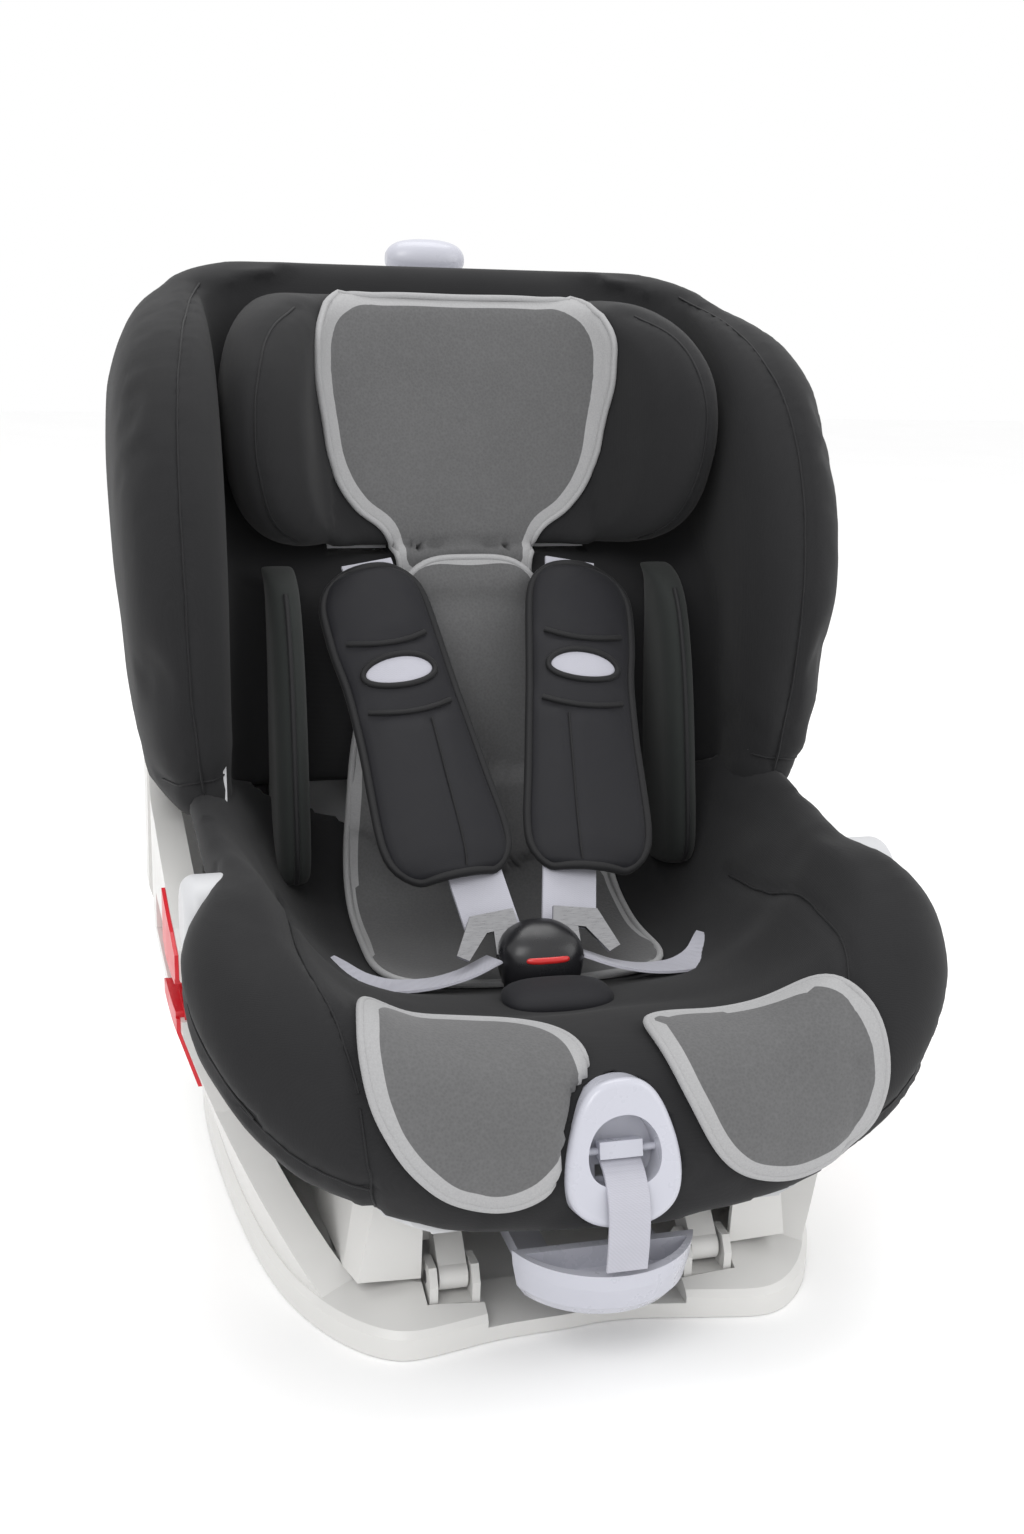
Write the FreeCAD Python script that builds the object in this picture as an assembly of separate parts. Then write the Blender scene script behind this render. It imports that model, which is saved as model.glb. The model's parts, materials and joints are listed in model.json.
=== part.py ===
import FreeCAD, Part
import math
import os

# Convertible child car seat. Millimetres. X to the right, Y to the rear, Z up.
# Four main bodies: base, tilting carrier, reclining seat shell, sliding headrest.

V = FreeCAD.Vector
os.makedirs("parts", exist_ok=True)

# ---- driving dimensions ------------------------------------------------
BASE_HALF_W = 200.0        # footprint half width
BASE_BAND = 18.0           # height of the upright band round the footprint
BASE_RIM = 30.0            # height of the inner rim of the flange
BASE_FLOOR = 4.0           # thickness of the tub floor
ARM_WALL = 20.0            # thickness of the side arms
ARM_TOP_HALF_W = 235.0     # half width of the arms at the belt guides
NOTCH_LOW = 167.0          # foot of the belt notch in the arms
NOTCH_HIGH = 194.0         # top of the belt notch
TILT_Y, TILT_Z = -212.0, 34.0    # front tilt hinge
ARC_Y, ARC_Z = -20.0, 655.0      # centre of the recline arc
RAIL_R = 560.3             # top of the rails
RUNNER_R = 559.7           # sole of the runners
PAN_R = 552.0              # underside of the seat pan
SHELL_T = 5.0              # wall of the seat shell
LEAN = math.radians(16.5)  # lean of the back and slide of the headrest
BACK_Y0, BACK_Z0 = 108.0, 150.0  # a point of the front face of the shell back
BACK_TOP = 606.0           # top of the shell back
SEAT_HALF_W = 190.0        # half width of the shell
WING_HALF_W = 250.0        # half width over the back wings
SLOT_X = 77.0              # centre of the strap slots
SLOT_W = 46.0              # width of the strap slots
WEB_W = 38.0               # harness webbing
WEB_T = 1.6                # thickness of the webbing
ADJ_W = 25.0               # adjuster webbing
PIN_R = 4.0                # tilt pins
ORIGIN_SHIFT = 1.7         # brings the middle of the whole depth over the origin


# ---- helpers -----------------------------------------------------------
def save(name, shape):
    placed = shape.copy()
    placed.translate(V(0, ORIGIN_SHIFT, 0))
    placed.exportStep("parts/" + name + ".step")


def flip(shape):
    return shape.mirror(V(0, 0, 0), V(1, 0, 0))


def save_pair(name, shape_right):
    save(name + "_right", shape_right)
    save(name + "_left", flip(shape_right))


def box(x0, x1, y0, y1, z0, z1):
    return Part.makeBox(x1 - x0, y1 - y0, z1 - z0, V(x0, y0, z0))


def prism(points, direction):
    wire = Part.makePolygon(points + [points[0]])
    return Part.Face(wire).extrude(direction)


def yz_prism(points, x0, x1):
    return prism([V(x0, y, z) for y, z in points], V(x1 - x0, 0, 0))


def xz_prism(points, y0, y1):
    return prism([V(x, y0, z) for x, z in points], V(0, y1 - y0, 0))


def xy_prism(points, z0, z1):
    return prism([V(x, y, z0) for x, y in points], V(0, 0, z1 - z0))


def spline_wire(points):
    curve = Part.BSplineCurve()
    curve.interpolate(points, PeriodicFlag=True)
    return Part.Wire([curve.toShape()])


def yz_smooth(points, x0, x1):
    wire = spline_wire([V(x0, y, z) for y, z in points])
    return Part.Face(wire).extrude(V(x1 - x0, 0, 0))


def xz_smooth(points, y0, y1):
    wire = spline_wire([V(x, y0, z) for x, z in points])
    return Part.Face(wire).extrude(V(0, y1 - y0, 0))


def cyl_x(x0, x1, y, z, r):
    return Part.makeCylinder(r, x1 - x0, V(x0, y, z), V(1, 0, 0))


def cyl_y(x, y0, y1, z, r):
    return Part.makeCylinder(r, y1 - y0, V(x, y0, z), V(0, 1, 0))


def cyl_z(x, y, z0, z1, r):
    return Part.makeCylinder(r, z1 - z0, V(x, y, z0), V(0, 0, 1))


def both(points):
    """Close a half outline given for x >= 0, front to rear, into a full one."""
    left = [(-x, y) for x, y in reversed(points) if x > 0.01]
    return points + left


def rounded(shape, radius, pick=None):
    """Round every edge, or the ones that pick() accepts."""
    edges = [e for e in shape.Edges if pick is None or pick(e)]
    return shape.makeFillet(radius, edges)


def lean_place(shape, x, y, z):
    """Turn an upright local shape to the lean of the back and set it down."""
    shape = shape.copy()
    shape.rotate(V(0, 0, 0), V(1, 0, 0), -math.degrees(LEAN))
    shape.translate(V(x, y, z))
    return shape


def back_y(z):
    """Front face of the shell back at height z."""
    return BACK_Y0 + (z - BACK_Z0) * math.tan(LEAN)


def arc_z(radius, y):
    """Height of the recline arc of this radius at y."""
    return ARC_Z - math.sqrt(radius ** 2 - (y - ARC_Y) ** 2)


def arc_points(radius, y0, y1, count):
    step = (y1 - y0) / float(count)
    return [(y0 + i * step, arc_z(radius, y0 + i * step)) for i in range(count + 1)]


def slab_on_path(path, half_w, thick, x=0.0):
    """A flat band along a line of (y, z) points, thickened upwards when it runs forward."""
    outer = []
    for i, (y, z) in enumerate(path):
        a = path[max(i - 1, 0)]
        b = path[min(i + 1, len(path) - 1)]
        ty, tz = b[0] - a[0], b[1] - a[1]
        n = math.hypot(ty, tz)
        outer.append((y + tz / n * thick, z - ty / n * thick))
    return yz_prism(path + outer[::-1], x - half_w, x + half_w)


def web_between(p, q, width, thick, facing):
    """A straight piece of webbing from p to q; facing is roughly its outward normal."""
    p, q = V(*p), V(*q)
    along = (q - p).normalize()
    side = along.cross(V(*facing)).normalize()
    out = side.cross(along).normalize()
    a = p - side * (width / 2.0)
    b = p + side * (width / 2.0)
    face = Part.Face(Part.makePolygon([a, b, b + out * thick, a + out * thick, a]))
    return face.extrude(q - p)


# ---- base --------------------------------------------------------------
FOOTPRINT = [(0, -233), (55, -237), (96, -245), (119, -246), (140, -233), (157, -211),
             (172, -180), (186, -125), (194, -60), (200, 60), (196, 140), (178, 192),
             (140, 216), (70, 222), (0, 222)]
ARM_PLAN = [(0, -233), (55, -238), (100, -246), (122, -249), (146, -236), (168, -208),
            (184, -174), (196, -125), (200, -60), (200, 60), (196, 140), (178, 192),
            (140, 216), (70, 222), (0, 222)]


def plan_wire(plan, z, grow_x, grow_y=0.0):
    """Smooth closed outline at height z, grown on each side by the given amounts."""
    points = []
    for x, y in both(plan):
        points.append(V(x * (1 + grow_x / BASE_HALF_W), y * (1 + grow_y / 235.0), z))
    return spline_wire(points)


def base_ears(side):
    """Hinge ears on the front flange, on one side."""
    ears = []
    for x0 in (66.5, 93.0):
        ear = yz_prism([(-226, 19), (-226, 34), (-220, 44), (-204, 44), (-196, 34), (-196, 19)],
                       x0, x0 + 5)
        ears.append(ear.cut(cyl_x(x0 - 1, x0 + 6, TILT_Y, TILT_Z, PIN_R)))
    foot = box(66.5, 98, -226, -198, 19, 22)
    ears = ears[0].fuse([ears[1], foot])
    return ears if side > 0 else flip(ears)


def foot_pads():
    """Four grip pads, flush with the underside."""
    pads = [box(s * 120 - 22, s * 120 + 22, y - 12, y + 12, 0, 2)
            for s in (-1, 1) for y in (-205, 196)]
    return Part.makeCompound(pads)


def base_tub():
    """Footprint with an upright band, a sloping flange, an open well and hinge ears."""
    levels = [(0, 0, 0), (14, 0, 0), (BASE_BAND, -3, -3), (BASE_RIM, -36, -32)]
    body = Part.makeLoft([plan_wire(FOOTPRINT, *level) for level in levels], True, True)
    well = both([(0, -186), (120, -186), (146, -160), (150, 120), (132, 170), (0, 176)])
    tub = body.cut(xy_prism(well, BASE_FLOOR, 60))
    tub = tub.cut(xy_prism([(-64, -260), (64, -260), (64, -180), (-64, -180)], 10, 60))
    tub = tub.cut(cyl_x(-160.1, 160.1, 150, 26, 9))
    for s in (-1, 1):
        tub = tub.cut(box(s * 82 - 18, s * 82 + 18, -228, -180, 20, 60))
        window = [(s * 104, -196), (s * 148, -192), (s * 152, -168), (s * 104, -176)]
        tub = tub.cut(xy_prism(window, 8, 60))
        tub = tub.cut(box(s * 60 - 45, s * 60 + 45, 20, 120, -1, 8))
        tub = tub.fuse(base_ears(s))
    return tub.cut(foot_pads()).removeSplitter()


def arm_solid(inset):
    """Flared body whose wall makes the side arms."""
    grow = ARM_TOP_HALF_W - BASE_HALF_W - inset
    return Part.makeLoft([plan_wire(FOOTPRINT, BASE_BAND, -inset - 4, -inset - 4),
                          plan_wire(ARM_PLAN, 158, grow, -inset),
                          plan_wire(ARM_PLAN, 340, grow + 2, -inset)], True, True)


SIDE_LOWER = [(-198, 18), (-178, 40), (-150, 74), (-122, 112), (-110, 140), (-104, NOTCH_LOW),
              (64, NOTCH_LOW), (64, NOTCH_HIGH), (196, NOTCH_HIGH), (192, 18)]
SIDE_UPPER = [(64, NOTCH_HIGH), (-104, NOTCH_HIGH), (-105, 206), (-98, 213), (-80, 221),
              (-30, 233), (0, 239), (56, 250), (92, 254), (112, 259), (140, 270), (176, 284),
              (196, 284), (196, NOTCH_HIGH)]


def side_arm():
    """Right side arm: flared wall with a notch for the car belt."""
    wall = arm_solid(0).cut(arm_solid(ARM_WALL))
    keep = yz_prism(SIDE_LOWER, 120, 300).fuse(yz_prism(SIDE_UPPER, 120, 300))
    cap = box(120, 300, -300, 176, 0, 400)
    arm = wall.common(keep).common(cap).cut(base_tub()).removeSplitter()
    return max(arm.Solids, key=lambda solid: solid.Volume)


def rear_upright():
    """Rear wall of the base with a cheek on each side that meets the arm."""
    outline = both_xz([(0, 306), (226, 306), (232, 288), (232, 158), (194, 30), (0, 30)])
    wall = yz_prism([(178, 30), (192, 30), (212, 300), (206, 306), (198, 300)], -232, 232)
    wall = wall.cut(xz_prism([(-120, 64), (120, 64), (110, 250), (-110, 250)], 150, 300))
    cheek = [(176.2, 30), (192, 30), (212, 300), (205, 306), (176.2, 285)]
    solids = [yz_prism(cheek, 206, 232), yz_prism(cheek, -232, -206)]
    whole = wall.fuse(solids).common(xz_prism(outline, 150, 300))
    return whole.cut(arm_solid(ARM_WALL).common(box(-300, 300, 0, 177, 0, 400))).removeSplitter()


def belt_guide():
    """Red lining of the belt notch on the right arm, with a trim strip on its outside."""
    low, high = NOTCH_LOW + 0.2, NOTCH_HIGH - 0.2
    block = yz_prism([(-101, low), (63.8, low), (63.8, high), (-101, high)], 206, 231)
    block = block.cut(yz_prism([(-96.5, low + 5), (58, low + 5), (58, high - 5), (-96.5, high - 5)],
                               200, 240))
    nose = cyl_z(219, -93, low, high, 12)
    nose = nose.common(box(190, 240, -106, -97, low, high))
    strip = arm_solid(-2.5).cut(arm_solid(-0.1))
    lower = [(-96, 118), (-99, low), (-30, low), (-30, 150), (-66, 118)]
    upper = [(-99, high), (-98, 210), (-80, 219), (-30, 231), (-30, high)]
    trim = strip.common(yz_prism(lower, 150, 300).fuse(yz_prism(upper, 150, 300)))
    tie = box(229, 240, -96, -40, low - 2, low + 4).fuse(box(229, 240, -96, -40, high - 4, high + 2))
    tie = tie.common(arm_solid(-2.5))
    guide = block.fuse([nose, trim, tie]).cut(side_arm()).removeSplitter()
    return max(guide.Solids, key=lambda solid: solid.Volume)


def base_cross_tube():
    tube = cyl_x(-160, 160, 150, 26, 9)
    return tube.cut(cyl_x(-161, 161, 150, 26, 7))


# ---- carrier -----------------------------------------------------------
def carrier_frame():
    """Tilting frame: two curved cheeks, cross members and hinge eyes."""
    solids = []
    for s in (-1, 1):
        top = arc_points(RAIL_R + 4.2, -186, 150, 12)
        cheek = [(-176, 42), (-198, 56), (-196, 90)] + top + [(164, 90), (160, 42)]
        solids.append(yz_prism(cheek, min(s * 101, s * 128), max(s * 101, s * 128)))
        eye = cyl_x(min(s * 73, s * 91), max(s * 73, s * 91), TILT_Y, TILT_Z, 9)
        arm = yz_prism([(-219, 39), (-207, 27), (-178, 46), (-178, 66), (-190, 66)],
                       min(s * 73, s * 91), max(s * 73, s * 91))
        bridge = box(min(s * 73, s * 104), max(s * 73, s * 104), -190, -172, 46, 66)
        eye = eye.fuse([arm, bridge]).cut(cyl_x(-120, 120, TILT_Y, TILT_Z, PIN_R + 0.3))
        solids.append(eye)
    solids.append(box(-101, 101, -186, -172, 48, 72))
    solids.append(box(-101, 101, 110, 124, 48, 82))
    solids.append(box(-101, 101, -20, -6, 44, 60))
    frame = solids[0].fuse(solids[1:])
    frame = frame.cut(box(-46, -24, -200, -160, 42.9, 57.1))
    frame = frame.cut(box(24, 46, -200, -160, 42.9, 57.1))
    return frame.removeSplitter()


def arc_bar(radius_in, radius_out, y0, y1, x0, x1):
    """A bar bent round the recline axis, between two radii."""
    middle = (y0 + y1) / 2.0
    ends = [V(x0, y, arc_z(r, y)) for r in (radius_in, radius_out) for y in (y0, y1)]
    mids = [V(x0, middle, arc_z(r, middle)) for r in (radius_in, radius_out)]
    edges = [Part.Arc(ends[0], mids[0], ends[1]).toShape(), Part.makeLine(ends[1], ends[3]),
             Part.Arc(ends[3], mids[1], ends[2]).toShape(), Part.makeLine(ends[2], ends[0])]
    return Part.Face(Part.Wire(edges)).extrude(V(x1 - x0, 0, 0))


def rail():
    """Steel running strip on the right cheek."""
    return arc_bar(RAIL_R, RAIL_R + 3.6, -182, 146, 104, 126)


def carrier_skirt():
    """Faceted housing outside the right cheek, with ribs that reach the cheek."""
    foot = [(92, -214), (140, -211), (145, -190), (149, -120), (149, 108)]
    head = [(92, -219), (125, -217), (135, -196), (147, -120), (147, 108)]
    shells = []
    for gap in (0.0, 4.0):
        rings = []
        for z, line in ((34, foot), (124, head)):
            inner = [(92, 108), (92, line[0][1] + gap)]
            outline = inner + [(x - gap, y + gap) for x, y in line[1:-1]] + [(line[-1][0] - gap, 108)]
            rings.append(Part.makePolygon([V(x, y, z) for x, y in outline + outline[:1]]))
        shells.append(Part.makeLoft(rings, True, True))
    skirt = shells[0].cut(shells[1])
    for y in (-150, -30, 90):
        rib = box(128, 148, y, y + 4, 44, 84)
        skirt = skirt.fuse(rib.common(shells[0]))
    sweep = [(-230, 140)] + arc_points(566.0, -229, 120, 14) + [(120, 140)]
    skirt = skirt.cut(yz_prism(sweep, 80, 170))
    skirt = skirt.cut(box(80, 101, -230, -180, 20, 200)).removeSplitter()
    return max(skirt.Solids, key=lambda solid: solid.Volume)


def lever_handle():
    """Half-moon pull handle under the front edge, with a hollow top and two pull bars."""
    def half_moon(half_w, y0, y_mid, z):
        a, b = V(half_w, y0, z), V(-half_w, y0, z)
        return Part.Wire([Part.Arc(a, V(0, y_mid, z), b).toShape(), Part.makeLine(b, a)])

    levels = [(40, -258, -280, 40), (48, -258, -288, 43), (53, -258, -294, 50), (56, -258, -298, 64),
              (57, -258, -299, 74)]
    body = Part.makeLoft([half_moon(*level) for level in levels], True, True)
    hollow = Part.makeLoft([half_moon(44, -264, -286, 60), half_moon(51, -264, -293, 74.1)],
                           True, True)
    body = body.cut(hollow)
    stems = [box(-44.5, -25.5, -262, -168, 44.5, 55.5), box(25.5, 44.5, -262, -168, 44.5, 55.5)]
    return body.fuse(stems).removeSplitter()


# ---- seat shell --------------------------------------------------------
def pan_profile():
    """Underside then top side of pan, heel curve and back, as (y, z)."""
    low = [(-262, 96), (-252, 128)] + arc_points(PAN_R, -232, 70, 12)
    low += [(92, 122), (107, 138), (back_y(156) + SHELL_T / math.cos(LEAN), 156)]
    low += [(back_y(BACK_TOP) + SHELL_T / math.cos(LEAN), BACK_TOP)]
    high = [(-267, 96), (-257, 130)] + arc_points(PAN_R - SHELL_T, -236, 68, 12)
    high += [(87, 127), (101, 140), (back_y(156), 156)]
    high += [(back_y(BACK_TOP), BACK_TOP)]
    return low + high[::-1]


def strap_slot(y0, y1):
    """Cutter for the pair of long strap and bridge slots through the back."""
    cutters = []
    for s in (-1, 1):
        cutters.append(box(s * SLOT_X - SLOT_W / 2, s * SLOT_X + SLOT_W / 2, y0, y1, 388, 590))
    return cutters[0].fuse(cutters[1])


SIDE_WALL = [(-196, 138), (-226, 164), (-228, 200), (-208, 236), (-150, 258), (-70, 250), (10, 262),
             (24, 330), (28, 430), (52, 510), (92, 560), (140, 590), (238, 600),
             (118, 190), (96, 140), (60, 124), (-20, 122), (-120, 126)]


def seat_shell():
    """Seat and back moulding with raised sides and stiffening ribs."""
    pan = yz_prism(pan_profile(), -SEAT_HALF_W, SEAT_HALF_W)
    outline = both_xz([(0, 606), (150, 606), (180, 592), (190, 564), (190, 140), (186, 96),
                       (0, 96)])
    pan = pan.common(xz_prism(outline, -300, 320))
    plan = both([(0, -270), (112, -268), (146, -254), (170, -234), (184, -206), (191, -170),
                 (191, 330), (0, 330)])
    pan = pan.common(xy_prism(plan, 80, 620))
    for s in (-1, 1):
        corner = xz_prism([(s * 108, 80), (s * 108, 97), (s * 150, 112), (s * 192, 140),
                           (s * 192, 80)], -300, -190)
        pan = pan.cut(corner)
    pan = pan.cut(strap_slot(100, 300))
    pan = pan.cut(box(-24, 24, -126, -104, 90, 130))
    for s in (-1, 1):
        pan = pan.cut(box(s * 112 - 22, s * 112 + 22, 78, 130, 118, 136))
    return pan.removeSplitter()


def both_xz(points):
    """Mirror a half outline in (x, z), given from the top centre down."""
    left = [(-x, z) for x, z in reversed(points)]
    right = [p for p in points if p[0] > 0.01]
    return right + [(-x, z) for x, z in reversed(right)]


def shell_side():
    """Raised right side wall of the shell."""
    wall = yz_prism(SIDE_WALL, SEAT_HALF_W, SEAT_HALF_W + 5)
    upper = yz_prism([(22, 293), (26, 330), (28, 430), (52, 510), (92, 560), (140, 590),
                      (238, 600), (146, 293)], SEAT_HALF_W + 5, SEAT_HALF_W + 20)
    return wall.fuse(upper).removeSplitter()


def shell_lug():
    """Domed guide lug on the outside of the right side, above the belt notch."""
    disc = cyl_x(SEAT_HALF_W + 14, SEAT_HALF_W + 44, -122, 243, 27)
    disc = rounded(disc, 9.0, lambda e: e.BoundBox.XMin > SEAT_HALF_W + 43)
    return disc.cut(bolster()).removeSplitter()


def back_ribs():
    """Vertical ribs and hems on the rear face of the shell back."""
    solids = []
    for x in (-170, -130, 130, 170):
        solids.append(box(x - 2, x + 2, 0, 16, 0, 400))
    for s in (-1, 1):
        for z in (0, 100, 396):
            solids.append(box(s * 150 - 22, s * 150 + 22, 0, 14, z, z + 4))
    ribs = solids[0].fuse(solids[1:])
    z = 190.0
    y = back_y(z) + SHELL_T / math.cos(LEAN)
    return lean_place(ribs, 0, y, z).removeSplitter()


def runner():
    """Right runner under the pan."""
    return arc_bar(PAN_R + 0.3, RUNNER_R, -170, 40, 103, 127)


# ---- covers and cushions ----------------------------------------------
WING_SIDE = [(14, 292), (-4, 330), (-8, 400), (2, 462), (24, 516), (62, 572), (120, 608),
             (185, 620), (250, 620), (262, 600), (236, 500), (205, 400), (172, 292)]
WING_FRONT = [(190, 292), (238, 292), (247, 380), (250, 470), (249, 530), (240, 575),
              (222, 606), (200, 618), (193, 618), (192.5, 560), (192, 420)]


def wing():
    """Padded right wing of the back, wrapped round the side wall."""
    block = yz_prism(WING_SIDE, 170, 252).common(xz_prism(WING_FRONT, -40, 320))
    block = block.cut(box(150, 204, 204, 330, 280, 640))
    return block.cut(shell_side()).cut(seat_shell()).removeSplitter()


def back_cushion():
    """Centre cushion of the back, recessed behind the headrest."""
    points = [(66, 172), (112, 402), (160, 424), (212, 605)]
    front = points + [(back_y(605) - 0.2, 605), (back_y(172) - 0.2, 172)]
    cushion = yz_prism(front, -175, 175)
    cushion = cushion.cut(strap_slot(50, 300))
    return cushion.removeSplitter()


def top_roll():
    """Cover roll along the top edge of the back, between the wings."""
    roll = yz_prism([(219, 606.5), (220, 613), (226, 620), (244, 620), (250, 613), (250, 606.5)],
                    -190, 190)
    return roll


CUSHION = [(56, 118), (58, 164), (0, 164), (-60, 165), (-120, 171), (-180, 183), (-222, 187),
           (-252, 178), (-272, 156), (-281, 122), (-281, 84), (-268, 84), (-267.4, 96),
           (-257.4, 130.2)]


def seat_cushion():
    """Seat pad from the heel to the front edge, with a port for the adjuster."""
    low = arc_points(PAN_R - SHELL_T - 0.3, -236, 56, 10)
    points = CUSHION[1:] + low
    pad = yz_prism(points, -150, 150)
    pad = pad.common(xz_prism([(-150, 92), (-100, 84), (100, 84), (150, 92), (150, 200),
                               (-150, 200)], -300, 100))
    pad = pad.cut(adjuster_port(1.0))
    pad = pad.cut(box(-24, 24, -130, -100, 90, 200))
    return pad.removeSplitter()


BOLSTER_SIDE = [(149, 291), (110, 160), (92, 126), (60, 116), (-60, 110), (-160, 116), (-236, 96),
                (-262, 110), (-268, 160), (-252, 210), (-222, 250), (-180, 274), (-120, 284),
                (-60, 276), (-20, 272), (14, 291)]
BOLSTER_FRONT = [(150, -128), (204.5, -128), (220, -146), (240, -170), (247, -198),
                 (242, -224), (230, -244), (208, -260), (180, -270), (150, -277)]
BOLSTER_FRONT_XZ = [(150, 92), (174, 106), (199, 130), (219, 158), (234, 188), (250, 232),
                    (250, 268), (226, 290), (192, 291), (150, 196)]
BOLSTER_REAR_XZ = [(150, 92), (176, 98), (188, 130), (199.4, 160), (199.4, 190), (204.5, 204),
                   (204.5, 280), (192, 291), (150, 196)]


def bolster():
    """Right side bolster of the seat, narrow between the base arms and wide in front."""
    block = yz_prism(BOLSTER_SIDE, 150, 250)
    front = block.common(xy_prism(BOLSTER_FRONT, 80, 300))
    front = front.common(xz_prism(BOLSTER_FRONT_XZ, -300, 0))
    rear = block.common(xz_prism(BOLSTER_REAR_XZ, -128, 134))
    block = front.fuse(rear).cut(shell_side()).cut(seat_shell()).cut(back_cushion())
    return block.removeSplitter()


def insert_pad():
    """Wedge pad standing along the right side of the back."""
    points = [(62, 418), (30, 350), (18, 290), (2, 205), (60, 176), (110, 396), (112, 404)]
    return yz_prism(points, 138, 149)


# ---- headrest ----------------------------------------------------------
HEAD_BACK = [(162, 437), (158, 428), (208, 602)]


def headrest_frame():
    """Headrest plate, bridges through the back and rear yoke."""
    rise = 177 * math.tan(LEAN)
    plate = [(153, 424), (158, 424), (158 + rise, 601), (153 + rise, 601)]
    solids = [yz_prism(plate, -140, 140)]
    for s in (-1, 1):
        bridge = yz_prism([(153, 424), (203, 424), (207, 438), (157, 438)],
                          s * SLOT_X - 20, s * SLOT_X + 20)
        solids.append(bridge)
    rear0 = SHELL_T / math.cos(LEAN) + 4.0
    yoke = [(back_y(424) + rear0, 424), (back_y(424) + rear0 + 5, 424),
            (back_y(618) + rear0 + 5, 618), (back_y(618) + rear0, 618)]
    solids.append(yz_prism(yoke, -100, 100))
    solids.append(box(-30, 30, 256, 292, 598, 612))
    frame = solids[0].fuse(solids[1:])
    frame = frame.cut(box(-60, 60, 200, 249.5, 590, 640))
    window = xz_prism([(-50, 460), (50, 460), (50, 560), (-50, 560)], 215, 300)
    return frame.cut(window).cut(handle_neck(0.4)).removeSplitter()


def headrest_pad():
    """Centre pad of the headrest."""
    pad = yz_prism([(133, 424), (152.8, 424), (205.2, 601), (203, 607), (166, 607)], -96, 96)
    return pad


def headrest_wing():
    """Right ear of the headrest."""
    side = [(92, 436), (66, 470), (58, 520), (68, 560), (104, 594), (160, 607), (203, 607),
            (205.2, 601), (154.5, 430), (120, 426)]
    front = [(96, 424), (150, 424), (174, 446), (187, 500), (188, 550), (178, 586), (156, 606),
             (96, 607)]
    block = yz_prism(side, 96, 188).common(xz_prism(front, 0, 240))
    scoop = yz_prism([(40, 420), (131, 420), (164, 612), (40, 612)], 90, 128)
    block = block.cut(scoop)
    plan = xy_prism([(96, 100), (134, 40), (188, 40), (188, 240), (96, 240)], 400, 620)
    return block.common(plan).removeSplitter()


def handle_neck(gap):
    """Flat neck of the release handle, along the lean; gap widens it into its socket."""
    low = -34 - 10 * gap
    neck = box(-22 - gap, 22 + gap, -4 - gap, 4 + gap, low, 0)
    return lean_place(neck, 0, 283, 631)


def headrest_handle():
    """Oval release handle above the top edge."""
    half = Part.BSplineCurve()
    half.interpolate([V(-31, 5, 0), V(-27, 10, 0), V(-15, 14.5, 0), V(0, 15.5, 0),
                      V(15, 14.5, 0), V(27, 10, 0), V(31, 5, 0)])
    sides = [Part.makeLine(V(-31, 0, 0), V(-31, 5, 0)), half.toShape(),
             Part.makeLine(V(31, 5, 0), V(31, 0, 0)), Part.makeLine(V(31, 0, 0), V(-31, 0, 0))]
    dome = Part.Face(Part.Wire(sides)).revolve(V(0, 0, 0), V(1, 0, 0), 360)
    dome.translate(V(0, 283, 631.5))
    return dome.fuse(handle_neck(0)).removeSplitter()


def on_back(shape, z):
    """Set a local shape on the rear face of the shell back at height z."""
    return lean_place(shape, 0, back_y(z) + SHELL_T / math.cos(LEAN), z)


def yoke_guides():
    """Channels that hold the edges of the headrest yoke."""
    guides = []
    for s in (-1, 1):
        web = box(s * 104.2 - 3.8, s * 104.2 + 3.8, 0, 11.5, 0, 190)
        lip = box(s * 100.5 - 7.5, s * 100.5 + 7.5, 9.0, 11.5, 0, 190)
        guides.append(on_back(web.fuse(lip).removeSplitter(), 400))
    return Part.makeCompound(guides)


def height_rack():
    """Notched strip that the headrest latch drops into."""
    rack = box(-10, 10, 0, 3.4, 0, 180)
    for i in range(8):
        rack = rack.cut(box(-6, 6, 1.4, 4, 12 + i * 21, 20 + i * 21))
    return on_back(rack, 405)


def shell_screws():
    """Six pan-head screws on the rear of the shell."""
    screws = []
    for s in (-1, 1):
        for z in (12, 112, 380):
            head = Part.makeCylinder(5, 3, V(s * 150, 0, z), V(0, 1, 0))
            cross = box(s * 150 - 3, s * 150 + 3, 2, 4, z - 0.6, z + 0.6)
            screws.append(on_back(head.cut(cross), 190))
    return Part.makeCompound(screws)


# ---- harness -----------------------------------------------------------
def shoulder_strap():
    """Right shoulder strap from the headrest slot to the tongue."""
    top = (SLOT_X, 118, 420)
    low = (26, -84, 206)
    return web_between(top, low, WEB_W, WEB_T, (0, -1, 0.6))


def shoulder_pad():
    """Sleeve pad round the right shoulder strap."""
    top = V(SLOT_X, 118, 420)
    low = V(26, -84, 206)
    run = low - top
    a = top + run * 0.06
    b = top + run * 0.86
    pad = web_between(tuple(a), tuple(b), 66, 14, (0, -1, 0.6))
    out = run.cross(V(0, -1, 0.6)).normalize().cross(run).normalize()
    pad.translate(out * -6.2)
    slot = web_between(tuple(top - run), tuple(low + run), WEB_W + 0.6, WEB_T + 0.6,
                       (0, -1, 0.6))
    slot.translate(out * -0.3)
    return pad.cut(slot).removeSplitter()


def lap_strap():
    """Right lap strap from the tongue out to the hip."""
    return web_between((32, -96, 196), (132, -2, 171), WEB_W - 6, WEB_T, (0, -0.5, 1))


def buckle_body(shape):
    shape.rotate(V(0, 0, 0), V(1, 0, 0), -38)
    shape.translate(V(0, -106, 193))
    return shape


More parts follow.
